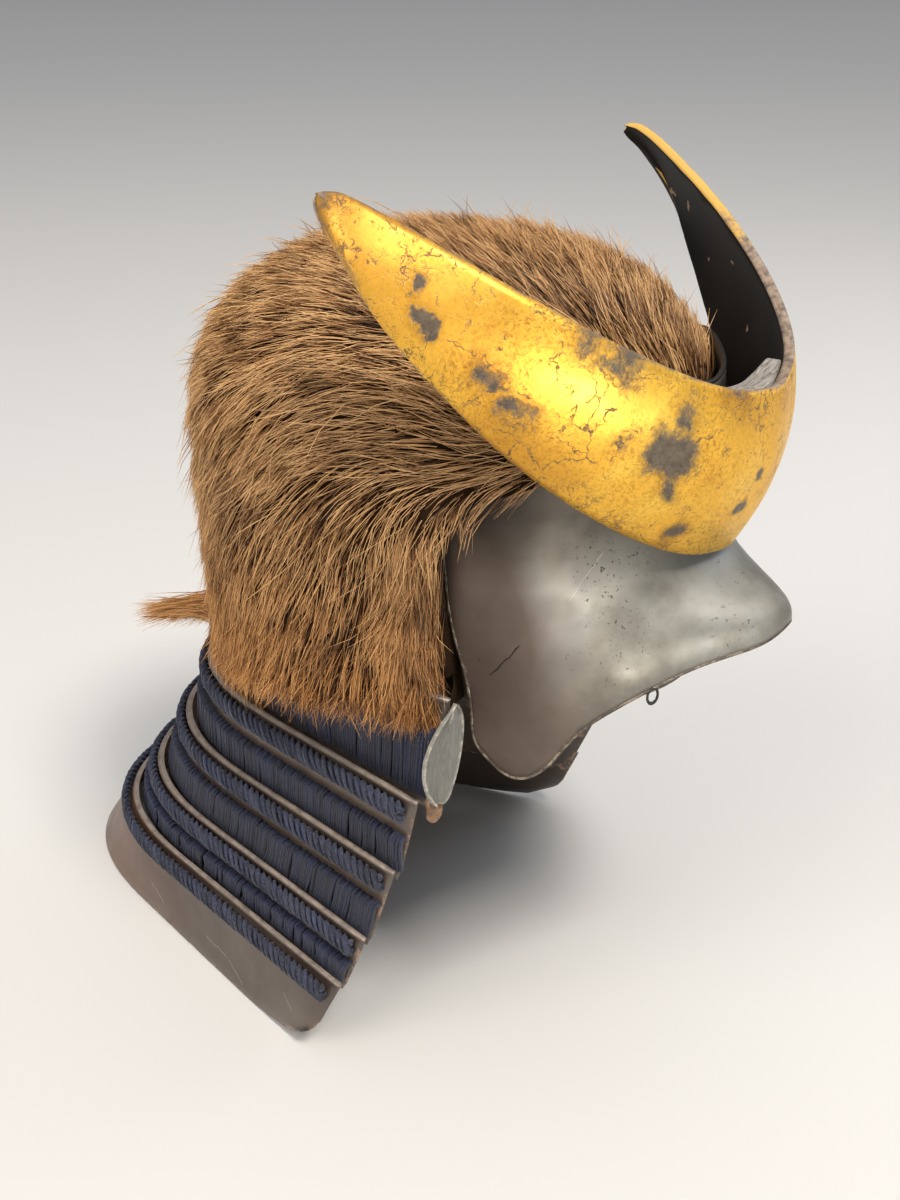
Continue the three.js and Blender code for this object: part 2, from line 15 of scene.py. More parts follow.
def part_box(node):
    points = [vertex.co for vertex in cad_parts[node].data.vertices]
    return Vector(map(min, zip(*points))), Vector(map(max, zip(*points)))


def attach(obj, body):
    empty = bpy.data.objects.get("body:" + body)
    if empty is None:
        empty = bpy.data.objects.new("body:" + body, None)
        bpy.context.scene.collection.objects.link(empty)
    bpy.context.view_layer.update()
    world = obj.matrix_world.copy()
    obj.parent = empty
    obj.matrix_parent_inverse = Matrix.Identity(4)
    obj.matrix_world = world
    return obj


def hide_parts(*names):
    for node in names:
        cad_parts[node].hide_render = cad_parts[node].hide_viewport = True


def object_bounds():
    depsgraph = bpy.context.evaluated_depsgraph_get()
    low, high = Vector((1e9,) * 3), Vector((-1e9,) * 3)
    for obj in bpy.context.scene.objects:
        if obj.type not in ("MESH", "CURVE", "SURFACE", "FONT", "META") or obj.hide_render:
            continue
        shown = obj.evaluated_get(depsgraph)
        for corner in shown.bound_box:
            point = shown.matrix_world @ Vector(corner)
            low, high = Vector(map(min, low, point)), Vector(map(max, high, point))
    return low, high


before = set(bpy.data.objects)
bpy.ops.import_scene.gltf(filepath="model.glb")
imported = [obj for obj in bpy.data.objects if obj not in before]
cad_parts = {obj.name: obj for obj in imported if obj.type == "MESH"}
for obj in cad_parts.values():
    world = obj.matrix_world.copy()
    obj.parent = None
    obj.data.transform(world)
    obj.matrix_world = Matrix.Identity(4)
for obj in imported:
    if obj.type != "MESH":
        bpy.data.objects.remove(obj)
cad_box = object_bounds()


# ---- camera, floor and light ----
# The helmet is seen from the wearer's right and a little above, as it stands on a museum mount.
# A pale floor and large soft lamps show it; one smaller warm lamp gives the gilding its bright spot.

CAMERA_PLACE = Vector((-0.5143, -0.3338, 0.1336))
CAMERA_RIGHT = Vector((0.5446, -0.8387, 0.0))
CAMERA_UP = Vector((0.3735, 0.2426, 0.8954))
LENS = 39
FILM_HEIGHT = 36
FLOOR_GAP = 0.0003
FLOOR_COLOR = (0.68, 0.67, 0.655, 1)
FLOOR_SIZE = 80
ROOM_COLOR = (0.78, 0.8, 0.84, 1)
ROOM_STRENGTH = 0.30

lens = bpy.data.cameras.new("camera")
lens.sensor_fit = "VERTICAL"
lens.sensor_height = FILM_HEIGHT
lens.lens = LENS
lens.clip_start = 0.01
camera = bpy.data.objects.new("camera", lens)
bpy.context.scene.collection.objects.link(camera)
camera_back = CAMERA_RIGHT.cross(CAMERA_UP)
turn = Matrix((CAMERA_RIGHT, CAMERA_UP, camera_back)).transposed().to_4x4()
camera.matrix_world = Matrix.Translation(CAMERA_PLACE) @ turn
bpy.context.scene.camera = camera
bpy.context.scene.view_settings.view_transform = "Standard"


def link(name, mesh):
    made = bpy.data.objects.new(name, mesh)
    bpy.context.scene.collection.objects.link(made)
    return made


floor_z = cad_box[0][2] - FLOOR_GAP
bpy.ops.mesh.primitive_plane_add(size=FLOOR_SIZE, location=(0, 0, floor_z))
floor = bpy.context.object
floor.name = "floor"
floor_paint = bpy.data.materials.new("floor_paint")
floor_paint.use_nodes = True
floor_shader = floor_paint.node_tree.nodes["Principled BSDF"]
floor_shader.inputs["Base Color"].default_value = FLOOR_COLOR
floor_shader.inputs["Roughness"].default_value = 0.7
floor.data.materials.append(floor_paint)


def lamp(name, place, target, size, watts, color):
    light = bpy.data.lights.new(name, "AREA")
    light.size = size
    light.energy = watts
    light.color = color
    made = link(name, light)
    made.location = place
    made.rotation_euler = (Vector(target) - Vector(place)).to_track_quat("-Z", "Y").to_euler()
    return made


lamp("key", (-0.80, -2.05, 3.20), (0, -0.04, -0.12), 0.9, 132, (1.0, 0.94, 0.86))
lamp("side", (-3.0, 0.7, 2.4), (0, 0, -0.15), 2.2, 75, (1.0, 0.92, 0.82))
lamp("fill", (1.5, -0.9, 0.7), (0, 0, -0.1), 1.2, 6, (0.86, 0.92, 1.0))
spark = lamp("spark", (-0.62, -1.02, -0.10), (-0.098, -0.112, -0.018), 0.12, 7.5, (1.0, 0.94, 0.82))
spark.visible_diffuse = False

lamp("ceiling", (0, 0, 30), (0, 0, 0), 50, 4200, (0.97, 0.98, 1.0))

world = bpy.data.worlds.new("room")
bpy.context.scene.world = world
world.use_nodes = True
backdrop = world.node_tree.nodes["Background"]
backdrop.inputs["Color"].default_value = ROOM_COLOR
backdrop.inputs["Strength"].default_value = ROOM_STRENGTH


# ---- iron bowl ----
# A thin iron bowl, lacquered russet brown. The hide is stretched over all of it, so only its inside,
# its rim and a little of its brow are seen. It is the carrier that everything else is fixed to.

EDGE_REACH = 0.02
LINE_WARP_SCALE = 120
LINE_WARP = 0.004
# Heights over which the painted shadow under the crescent fades in on the brow and the top of the visor.
CRESCENT_SHADOW_HEIGHTS = (-0.108, -0.076)


def merged_copy(node):
    """The CAD node's mesh as a bmesh with shared corners and four-sided faces."""
    mesh = bmesh.new()
    mesh.from_mesh(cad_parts[node].data)
    bmesh.ops.remove_doubles(mesh, verts=mesh.verts, dist=2e-5)
    bmesh.ops.join_triangles(
        mesh, faces=mesh.faces, angle_face_threshold=math.radians(30), angle_shape_threshold=math.radians(60)
    )
    return mesh


def baked(piece, name):
    """The mesh that a piece's modifier makes of it. The piece itself is dropped."""
    data = bpy.data.meshes.new_from_object(piece.evaluated_get(bpy.context.evaluated_depsgraph_get()))
    bpy.data.objects.remove(piece)
    data.name = name
    return data


def search_tree(points):
    tree = KDTree(len(points))
    for i, point in enumerate(points):
        tree.insert(point, i)
    tree.balance()
    return tree


def smooth_piece(name, node, levels=2, crease=1.0, sharp_angle=38, finish_of=None):
    """A rounded piece over a CAD node: its faces are subdivided and its sharp edges stay nearly sharp.
    Its 'edge' attribute is 0 on a sharp edge and rises to 1 away from it."""
    mesh = merged_copy(node)
    creases = mesh.edges.layers.float.new("crease_edge")
    limit = math.radians(sharp_angle)
    mesh.normal_update()
    sharp = {e for e in mesh.edges if len(e.link_faces) == 2 and e.calc_face_angle() > limit}
    for edge in sharp:
        edge[creases] = crease
    if finish_of:
        for face in mesh.faces:
            face.material_index = finish_of(face, sum(edge in sharp for edge in face.edges))
    samples = [edge.verts[0].co.lerp(edge.verts[1].co, t) for edge in sharp for t in (0.0, 0.25, 0.5, 0.75)]
    data = bpy.data.meshes.new(name)
    mesh.to_mesh(data)
    mesh.free()
    rough = link(name + "_rough", data)
    subdivision = rough.modifiers.new("round", "SUBSURF")
    subdivision.levels = subdivision.render_levels = levels
    data = baked(rough, name)
    tree = search_tree(samples)
    reach = [min(tree.find(v.co)[2] / EDGE_REACH, 1.0) for v in data.vertices]
    data.attributes.new("edge", "FLOAT", "POINT").data.foreach_set("value", reach)
    data.shade_smooth()
    data.set_sharp_from_angle(angle=math.radians(50))
    return link(name, data)


class Look:
    """A material and the shader nodes that work out its colour, roughness and bump."""

    def __init__(self, name, **values):
        self.material = bpy.data.materials.new(name)
        self.material.use_nodes = True
        self.tree = self.material.node_tree
        self.shader = self.tree.nodes["Principled BSDF"]
        for key, value in values.items():
            self.shader.inputs[key.replace("_", " ").title().replace("Ior", "IOR")].default_value = value
        self.place = self.add("TexCoord", {}).outputs["Object"]

    def add(self, kind, sockets, **settings):
        """One shader node, with its settings and its inputs, which are values or other nodes' outputs."""
        made = self.tree.nodes.new("ShaderNode" + kind)
        for key, value in settings.items():
            setattr(made, key, value)
        for key, value in sockets.items():
            if isinstance(value, bpy.types.NodeSocket):
                self.tree.links.new(value, made.inputs[key])
            else:
                made.inputs[key].default_value = value
        return made

    def wire(self, output, socket):
        self.tree.links.new(output, self.shader.inputs[socket])

    def axis(self, name):
        return self.add("SeparateXYZ", {0: self.place}).outputs[name]

    def attribute(self, name):
        return self.add("Attribute", {}, attribute_name=name).outputs["Fac"]

    def math(self, operation, *values):
        return self.add("Math", dict(enumerate(values)), operation=operation).outputs[0]

    def vector(self, operation, *values):
        made = self.add("VectorMath", dict(enumerate(values)), operation=operation)
        return made.outputs["Value" if operation in ("DOT_PRODUCT", "DISTANCE") else "Vector"]

    def rise(self, value, low, high, start=0.0, end=1.0):
        """From start to end while the value goes from low to high."""
        sockets = {"Value": value, "From Min": low, "From Max": high, "To Min": start, "To Max": end}
        return self.add("MapRange", sockets).outputs["Result"]

    def noise(self, scale, detail=4, roughness=0.55, distortion=0.0, at=None):
        sockets = {"Vector": at or self.place, "Scale": scale, "Detail": detail, "Roughness": roughness}
        sockets["Distortion"] = distortion
        return self.add("TexNoise", sockets).outputs["Fac"]

    def clouds(self, place, scale, detail):
        return self.add("TexNoise", {"Vector": place, "Scale": scale, "Detail": detail}).outputs["Color"]

    def cells(self, place, scale, feature="F1"):
        return self.add("TexVoronoi", {"Vector": place, "Scale": scale}, feature=feature).outputs["Distance"]

    def ramp(self, value, *stops):
        """Colours by value. A stop is (position, colour) or (position, grey level)."""
        made = self.add("ValToRGB", {"Fac": value})
        while len(made.color_ramp.elements) < len(stops):
            made.color_ramp.elements.new(0.5)
        for element, (position, color) in zip(made.color_ramp.elements, stops):
            element.position = position
            element.color = (*color, 1) if isinstance(color, tuple) else (color, color, color, 1)
        return made.outputs["Color"]

    def blend(self, factor, first, second, mode="MIX"):
        """Two colours mixed; a colour is a value or another node's output."""
        first, second = [(*color, 1) if isinstance(color, tuple) else color for color in (first, second)]
        sockets = {0: factor, 6: first, 7: second}
        return self.add("Mix", sockets, data_type="RGBA", blend_type=mode).outputs[2]

    def times(self, first, second):
        return self.blend(1.0, first, second, "MULTIPLY")

    def bump(self, height, distance, strength=1.0, under=None):
        sockets = {"Height": height, "Distance": distance, "Strength": strength}
        if under:
            sockets["Normal"] = under
        return self.add("Bump", sockets).outputs["Normal"]

    def warped(self, place, scale, amount):
        """The place shifted by a noise, so that a pattern on it loses its straight lines."""
        shift = self.vector("SUBTRACT", self.clouds(place, scale, 4.0), (0.5, 0.5, 0.5))
        return self.vector("ADD", place, self.vector("MULTIPLY", shift, (amount, amount, amount)))


def lines(look, middle, along, across, half_length, half_width):
    """1 on a short line through a place: a scratch or a crack."""
    off = look.vector("SUBTRACT", look.warped(look.place, LINE_WARP_SCALE, LINE_WARP), middle)
    side = look.math("ABSOLUTE", look.vector("DOT_PRODUCT", off, across))
    thin = look.rise(side, half_width, half_width * 0.5)
    ahead = look.math("ABSOLUTE", look.vector("DOT_PRODUCT", off, along))
    short = look.rise(ahead, half_length, half_length * 0.8)
    near = look.math("LESS_THAN", look.vector("DISTANCE", look.place, middle), half_length * 1.3)
    return look.math("MULTIPLY", look.math("MULTIPLY", thin, short), near)


def crescent_shadow_on(look):
    """Painted shadow: 0 on most of the helmet and 1 on the brow and the top of the visor, where the crescent
    shades the iron.
    """
    return look.rise(look.axis("Z"), *CRESCENT_SHADOW_HEIGHTS)


def russet_iron():
    look = Look("russet_iron", metallic=0.55)
    # Grey steel in a band across the middle of the visor and brow, with brown russet at the beak and toward
    # the back and bottom: partly the iron's own tones, partly a painted sheen, lighter and bluish where the
    # plate shines.
    drifted = look.vector("MULTIPLY_ADD", look.clouds(look.place, 14.0, 3.0), (0.06, 0.06, 0.06), look.place)
    back = look.vector("DOT_PRODUCT", drifted, (0.0, 1.0, -0.45))
    steel_sheen_zone = look.rise(back, -0.149, 0.041)
    grey = look.ramp(steel_sheen_zone, (0.06, 0.05), (0.3, 0.95), (0.46, 0.85), (0.66, 0.05))
    brown = look.ramp(
        look.noise(12, 5, 0.6),
        (0.3, (0.050, 0.031, 0.022)),
        (0.5, (0.080, 0.054, 0.040)),
        (0.72, (0.125, 0.095, 0.075)),
    )
    steel_and_sheen = look.ramp(
        look.noise(17, 5, 0.65),
        (0.3, (0.130, 0.118, 0.100)),
        (0.5, (0.245, 0.248, 0.225)),
        (0.7, (0.290, 0.305, 0.320)),
    )
    clouds = look.blend(grey, brown, steel_and_sheen)
    pits = look.ramp(look.noise(480, 3, 0.7), (0.32, 0.0), (0.38, 1.0))
    patches = look.ramp(look.noise(24, 2), (0.40, 0.0), (0.50, 1.0))
    pitted = look.blend(patches, pits, (1.0, 1.0, 1.0))
    body = look.blend(pitted, (0.045, 0.036, 0.03), clouds)
    # Painted shadow: the iron is darkened on the brow and the top of the visor, under the crescent.
    crescent_shadow = crescent_shadow_on(look)
    body = look.blend(crescent_shadow, body, look.times(body, (0.32, 0.29, 0.26)))
    crack = lines(look, *CRACK)
    scratch = lines(look, *SCRATCH)
    body = look.blend(crack, body, (0.016, 0.012, 0.01))
    body = look.blend(scratch, body, (0.24, 0.23, 0.21))
    worn = look.ramp(look.attribute("edge"), (0.0, 0.8), (0.08, 0.0))
    chips = look.ramp(look.noise(300, 3), (0.5, 0.0), (0.58, 1.0))
    # No pale worn chips inside the painted shadow under the crescent.
    wear = look.blend(crescent_shadow, look.times(worn, chips), (0.0, 0.0, 0.0))
    look.wire(look.blend(wear, body, (0.34, 0.28, 0.21)), "Base Color")
    look.wire(look.ramp(look.noise(60, 5), (0.3, 0.40), (0.7, 0.56)), "Roughness")
    dents = look.bump(look.noise(22, 2), 0.0016, 0.3)
    relief = look.blend(crack, pitted, (0.0, 0.0, 0.0))
    look.wire(look.bump(relief, 0.0002, 0.5, dents), "Normal")
    return look.material


# On the right cheek of the visor. Middle, direction, the way across it, half the length, half the width.
CRACK = ((-0.0865, -0.0845, -0.139), (-0.30, 0.56, -0.77), (0.36, -0.68, -0.64), 0.011, 0.0005)
SCRATCH = ((-0.066, -0.112, -0.103), (-0.35, 0.50, -0.79), (0.45, -0.65, -0.61), 0.013, 0.0002)
iron = russet_iron()
bowl = smooth_piece("iron_bowl", "bowl", levels=2)
bowl.data.materials.append(iron)
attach(bowl, "root")
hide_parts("bowl")


# ---- visor ----
# One hammered iron plate, lacquered like the bowl and riveted to its brow. It sweeps down to the cheeks
# and out to a beak, with a thin turned edge. Two small cord loops hang from the turned edge.

VISOR_SHARP_ANGLE = 66
visor = smooth_piece("visor_plate", "visor", levels=2, sharp_angle=VISOR_SHARP_ANGLE)
visor.data.materials.append(iron)
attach(visor, "root")
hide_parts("visor")


def cord_black():
    look = Look("black_cord", roughness=0.8)
    twist = look.noise(900, 3)
    look.wire(look.ramp(twist, (0.3, (0.008, 0.007, 0.006)), (0.7, (0.045, 0.038, 0.03))), "Base Color")
    look.wire(look.bump(twist, 0.0003), "Normal")
    return look.material


LOOP_RISE = 0.0032
cord = cord_black()
for side in ("right", "left"):
    loop = smooth_piece(f"cord_loop_{side}", f"visor_loop_{side}", levels=2)
    low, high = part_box(f"visor_loop_{side}")
    for vertex in loop.data.vertices:
        vertex.co.z = low[2] + (vertex.co.z - low[2]) * (1 + LOOP_RISE / (high[2] - low[2]))
    loop.data.materials.append(cord)
    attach(loop, "root")
    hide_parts(f"visor_loop_{side}")


# ---- crescent ----
# A wide crescent of thin wood, black lacquered and covered with gold leaf on its outer face. The leaf is
# crazed and worn through to the lacquer in places. It stands on a block behind the brow.

WORN_SPOTS = [
    # place on the gilt face, how far the worn patch reaches, how much of the leaf is gone there
    ((-0.063, -0.145, -0.042), 0.0125, 1.0),
    ((-0.057, -0.148, -0.029), 0.0095, 0.72),
    ((-0.079, -0.135, -0.036), 0.0065, 0.66),
    ((-0.061, -0.143, -0.057), 0.0075, 0.7),
    ((-0.077, -0.129, -0.004), 0.0130, 0.72),
    ((-0.086, -0.120, 0.004), 0.0090, 0.6),
    ((-0.114, -0.091, -0.007), 0.0080, 0.8),
    ((-0.107, -0.099, -0.019), 0.0085, 0.78),
    ((-0.1255, -0.0705, 0.0140), 0.0060, 1.0),
    ((-0.124, -0.065, 0.027), 0.0042, 1.0),
    ((-0.031, -0.159, -0.026), 0.0060, 0.7),
    ((-0.014, -0.163, -0.065), 0.0035, 1.0),
    ((-0.019, -0.160, -0.077), 0.0045, 1.0),
    ((-0.048, -0.143, -0.083), 0.0065, 0.75),
    ((-0.130, -0.030, 0.053), 0.0070, 0.62),
    ((0.060, -0.146, -0.050), 0.0100, 0.8),
    ((0.105, -0.101, -0.005), 0.0090, 0.75),
    ((0.122, -0.070, 0.032), 0.0050, 1.0),
    ((0.024, -0.160, -0.085), 0.0060, 0.75),
]
HORN_TIP = Vector((0.1287, -0.0248, 0.0545))
HORN_BACKWARD = Vector((0.06, -0.757, -0.65)).normalized()
HORN_WIDTHWAYS = Vector((-0.44, -0.457, 0.77))
TIP_REACH = 0.03
TIP_ROUNDING = 0.0075
UNDERSIDE_SLOPE = -0.2
CREST_AXIS_Y = -0.06


def gilded_edge(look):
    """High where leaf is left on the narrow edge: toward the tip of the wearer's left horn."""
    kept = look.rise(look.vector("DOT_PRODUCT", look.place, (0.35, 0.0, 1.0)), 0.03, 0.12)
    return look.math("ADD", look.noise(120, 5, 0.8), kept)


def gold_leaf():
    look = Look("worn_gold_leaf")
    leaf = look.ramp(
        look.noise(16, 6, 0.6, 0.4),
        (0.28, (0.62, 0.30, 0.026)),
        (0.5, (0.82, 0.46, 0.046)),
        (0.75, (0.94, 0.62, 0.09)),
    )
    grain = look.noise(620, 6, 0.8, at=look.warped(look.place, 90, 0.01))
    mottle = look.ramp(grain, (0.40, (0.55, 0.43, 0.3)), (0.52, (1.0, 1.0, 1.0)))
    thin = look.ramp(look.noise(26, 4, 0.6), (0.36, 0.25), (0.66, 1.0))
    leaf = look.blend(thin, leaf, look.times(leaf, mottle))
    worn = None
    ragged = look.warped(look.warped(look.place, 75, 0.022), 420, 0.005)
    for spot, reach, share in WORN_SPOTS:
        away = look.vector("DISTANCE", ragged, spot)
        near = look.rise(away, reach * 1.6, reach * 0.1, 0.0, share)
        worn = near if worn is None else look.math("MAXIMUM", worn, near)
    smudge = look.math("ADD", look.noise(130, 5, 0.7), look.noise(560, 7, 0.85))
    broken = look.math("MULTIPLY", look.math("MULTIPLY_ADD", worn, 1.15, smudge), 0.5)
    bare = look.ramp(broken, (0.70, 0.0), (0.86, 0.93))
    dull = look.ramp(worn, (0.0, (1.0, 1.0, 1.0)), (0.6, (0.62, 0.57, 0.52)))
    leaf = look.times(leaf, dull)
    ahead = look.vector("DOT_PRODUCT", look.place, (-0.6, 0.0, 1.0))
    tarnish = look.rise(ahead, 0.06, 0.14, 0.0, 0.8)
    leaf = look.blend(tarnish, leaf, look.times(leaf, (0.80, 0.66, 0.85)))
    jagged = look.warped(look.warped(look.place, 45, 0.03), 300, 0.006)
    crazed = look.ramp(look.cells(jagged, 62.0, "DISTANCE_TO_EDGE"), (0.0, 1.0), (0.028, 0.0))
    where = look.ramp(look.noise(42, 7, 0.85), (0.48, 0.0), (0.54, 1.0))
    cracks = look.times(crazed, where)
    fine = look.ramp(look.cells(jagged, 240.0, "DISTANCE_TO_EDGE"), (0.0, 1.0), (0.09, 0.0))
    low = look.ramp(look.attribute("edge"), (0.1, 1.0), (0.95, 0.12))
    patchy = look.times(look.ramp(look.noise(60, 4, 0.7), (0.52, 0.0), (0.6, 1.0)), low)
    cracks = look.blend(1.0, cracks, look.times(fine, patchy), "LIGHTEN")
    specks = look.ramp(look.noise(430, 4, 0.75), (0.335, 1.0), (0.385, 0.0))
    marks = look.blend(1.0, cracks, look.times(specks, low), "LIGHTEN")
    gilt = look.blend(marks, leaf, (0.09, 0.045, 0.015))
    ground = look.ramp(look.noise(240, 5, 0.8), (0.35, (0.03, 0.026, 0.024)), (0.65, (0.13, 0.105, 0.075)))
    gilt = look.blend(bare, gilt, ground)
    rubbed = look.ramp(look.attribute("edge"), (0.035, 1.0), (0.09, 0.0))
    rubbed = look.times(rubbed, look.ramp(gilded_edge(look), (0.35, 1.0), (0.6, 0.0)))
    gilt = look.blend(rubbed, gilt, (0.20, 0.15, 0.12))
    look.wire(gilt, "Base Color")
    gone = look.blend(1.0, bare, marks, "LIGHTEN")
    look.wire(look.ramp(gone, (0.0, 0.55), (0.6, 0.0)), "Metallic")
    look.wire(look.ramp(look.noise(70, 5), (0.3, 0.34), (0.7, 0.48)), "Roughness")
    leveled = look.bump(look.noise(45, 3), 0.0006, 0.25)
    leveled = look.bump(grain, 0.0002, 0.25, leveled)
    look.wire(look.bump(gone, -0.0002, 0.6, leveled), "Normal")
    return look.material


def black_lacquer():
    look = Look("black_lacquer", roughness=0.62, specular_ior_level=0.25)
    film = look.ramp(look.noise(35, 5), (0.35, (0.003, 0.0027, 0.0025)), (0.7, (0.012, 0.009, 0.007)))
    chips = look.ramp(look.noise(75, 3, 0.5), (0.665, 0.0), (0.68, 1.0))
    look.wire(look.blend(chips, film, (0.33, 0.22, 0.13)), "Base Color")
    look.wire(look.bump(chips, -0.0003), "Normal")
    return look.material


def worn_edge():
    look = Look("worn_edge", roughness=0.6)
    gilded = look.ramp(gilded_edge(look), (0.6, 0.0), (0.8, 1.0))
    wood = look.ramp(
        look.noise(260, 5, 0.7),
        (0.33, (0.075, 0.060, 0.055)),
        (0.46, (0.21, 0.155, 0.115)),
        (0.62, (0.36, 0.27, 0.20)),
    )
    look.wire(look.blend(gilded, wood, (0.66, 0.40, 0.085)), "Base Color")
    look.wire(look.bump(look.noise(300, 4), 0.0003, 0.5), "Normal")
    return look.material


def crest_side(face, sharp_edges):
    """Gold leaf outside, black lacquer inside and worn wood on the narrow edge between them."""
    if sharp_edges >= 2:
        return 2 if face.normal.z > UNDERSIDE_SLOPE else 1
    out = face.calc_center_median() - Vector((0, CREST_AXIS_Y, 0))
    out.z = 0
    return 0 if face.normal.dot(out) > 0 else 1


crescent = smooth_piece("crescent_crest", "crescent", levels=2, crease=0.97, finish_of=crest_side)
for part in (gold_leaf(), black_lacquer(), worn_edge()):
    crescent.data.materials.append(part)
for mirror in (-1, 1):
    flip = Vector((mirror, 1, 1))
    tip = HORN_TIP * flip
    backward = HORN_BACKWARD * flip
    widthways = HORN_WIDTHWAYS * flip
    widthways = (widthways - backward * widthways.dot(backward)).normalized()
    at_tip = [vertex for vertex in crescent.data.vertices if (vertex.co - tip).length < TIP_REACH]
    end = min((vertex.co - tip).dot(backward) for vertex in at_tip)
    for vertex in at_tip:
        from_tip = vertex.co - tip
        depth = from_tip.dot(backward) - end
        if depth < TIP_ROUNDING:
            keep = math.sqrt(1 - (1 - depth / TIP_ROUNDING) ** 2)
            vertex.co -= widthways * from_tip.dot(widthways) * (1 - keep)
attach(crescent, "root")
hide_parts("crescent")


# ---- crest block ----
# A bare block of wood glued behind the crescent. It slides over the crest holder on the brow. Its grain
# runs sideways; the saw marks on its top are not drawn.


def bare_wood():
    look = Look("grey_wood", roughness=0.8)
    stretched = look.add("Mapping", {"Vector": look.place, "Scale": (1.0, 14.0, 14.0)}).outputs["Vector"]
    grain = look.noise(60, 6, 0.7, 0.5, at=stretched)
    greys = (0.34, (0.10, 0.085, 0.07)), (0.5, (0.26, 0.235, 0.205)), (0.66, (0.42, 0.39, 0.35))
    look.wire(look.ramp(grain, *greys), "Base Color")
    look.wire(look.bump(grain, 0.0006, 0.8), "Normal")
    return look.material


block = smooth_piece("crest_block", "crescent_block", levels=3, crease=0.95)
block.data.materials.append(bare_wood())
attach(block, "root")
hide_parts("crescent_block")


# ---- neck guard lames ----
# Five lacquered plates, each bent round the neck and hung from the one above by silk. The upper edge of
# each is turned out to a thin pale rim. The last one is left bare, with rounded front corners.

LAME_COUNT = 5
RIM_HEIGHT = 0.0027
CORNER_RADIUS = 0.014
CORNER_X = 0.09
CORNER_Y = 0.05


def lame_lacquer():
    look = Look("brown_lacquer", coat_weight=0.3, coat_roughness=0.3)
    film = look.ramp(
        look.noise(14, 6, 0.6),
        (0.3, (0.048, 0.033, 0.024)),
        (0.5, (0.082, 0.058, 0.043)),
        (0.7, (0.125, 0.096, 0.076)),
    )
    rim = look.ramp(look.attribute("rim"), (0.07, 1.0), (0.16, 0.0))
    pale = look.ramp(look.noise(180, 5, 0.7), (0.3, (0.12, 0.096, 0.08)), (0.6, (0.30, 0.245, 0.205)))
    browned = look.rise(look.axis("Y"), 0.09, 0.2)
    film = look.blend(browned, film, look.times(film, (1.3, 0.8, 0.5)))
    color = look.blend(rim, film, pale)
    edge = look.ramp(look.attribute("edge"), (0.03, 1.0), (0.11, 0.0))
    chips = look.ramp(look.noise(150, 4, 0.7), (0.50, 0.0), (0.56, 1.0))
    chips = look.times(chips, look.ramp(look.attribute("rim"), (0.96, 0.0), (0.99, 1.0)))
    color = look.blend(look.times(edge, chips), color, (0.36, 0.21, 0.115))
    for scuff in SCUFFS:
        color = look.blend(lines(look, *scuff, SCUFF_HALF_WIDTH), color, (0.24, 0.20, 0.165))
    look.wire(color, "Base Color")
    look.wire(look.ramp(look.noise(50, 5), (0.3, 0.3), (0.7, 0.46)), "Roughness")
    look.wire(look.bump(look.noise(40, 3), 0.0008, 0.3), "Normal")
    return look.material


def round_corners(data):
    """The lower front corners of the last lame, cut to an arc."""
    places = np.array([v.co for v in data.vertices])
    for side in (-1, 1):
        here = (places[:, 0] * side > CORNER_X) & (places[:, 1] < CORNER_Y)
        corner = places[here][np.argmax((-places[:, 2] - places[:, 1])[here])]
        top = places[here][np.argmax((places[:, 2] - places[:, 1])[here])]
        front = corner[1] + (places[:, 2] - corner[2]) * (top[1] - corner[1]) / (top[2] - corner[2])
        behind = places[:, 1] - front
        above = places[:, 2] - corner[2]
        near = here & (behind < CORNER_RADIUS) & (above < CORNER_RADIUS)
        gap = np.hypot(CORNER_RADIUS - behind, CORNER_RADIUS - above)
        pull = np.where(near & (gap > CORNER_RADIUS), 1 - CORNER_RADIUS / np.maximum(gap, 1e-9), 0)
        places[:, 1] += (CORNER_RADIUS - behind) * pull
        places[:, 2] += (CORNER_RADIUS - above) * pull
    data.vertices.foreach_set("co", places.ravel())


SCUFF_HALF_WIDTH = 0.0004
SCUFFS = [
    # middle of a pale scratch on the last lame, its direction, the way across it, half its length
    ((-0.1252, 0.0210, -0.3616), (-0.33, -0.77, -0.55), (0.03, -0.59, 0.81), 0.0057),
    ((-0.1094, 0.0858, -0.3666), (-0.26, -0.96, -0.05), (0.17, -0.10, 0.98), 0.0118),
    ((-0.1154, 0.0668, -0.3710), (-0.31, -0.85, -0.43), (0.07, -0.47, 0.88), 0.0089),
    ((-0.0934, 0.1469, -0.3664), (-0.30, -0.87, -0.38), (0.04, -0.42, 0.91), 0.0096),
]
lacquer = lame_lacquer()
lames = {}
for k in range(1, LAME_COUNT + 1):
    lame = smooth_piece(f"lame_plate_{k}", f"lame_{k}", levels=2 if k == LAME_COUNT else 1, crease=0.7)
    rim_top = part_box(f"lame_{k}")[1][2]
    below = [min((rim_top - v.co.z) / RIM_HEIGHT / 2, 1.0) for v in lame.data.vertices]
    lame.data.attributes.new("rim", "FLOAT", "POINT").data.foreach_set("value", below)
    if k == LAME_COUNT:
        round_corners(lame.data)
    lame.data.materials.append(lacquer)
    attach(lame, "root")
    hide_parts(f"lame_{k}")
    lames[k] = lame


# ---- silk lacing ----
# Navy silk cords hang each lame from the one above. They lie side by side like a curtain, in small
# bunches, round over at the top and pass behind the next pale rim.

CORD_RADIUS = 0.00104
CORD_PITCH = 0.0017
CORD_SIDES = 5
CORD_TRIM = 0.0006
BUNCH_CHANCE = 0.19
BUNCH_LEAN = 0.0007
BUNCH_LIFT = 0.0003
BUNCH_SWELL = 0.0012
BUNCH_LIMIT = 9
PINCH = 0.00020
LAST_PINCH = 0.00042
BOUNCE = 0.00025
FALL = 0.0004
WOBBLE = 0.00012
NECK_AXIS = Vector((0, 0.06, 0))
NECK_SWEEP = 2.75
NECK_STEPS = 420
NECK_REACH = 0.5
random = np.random.default_rng(7)


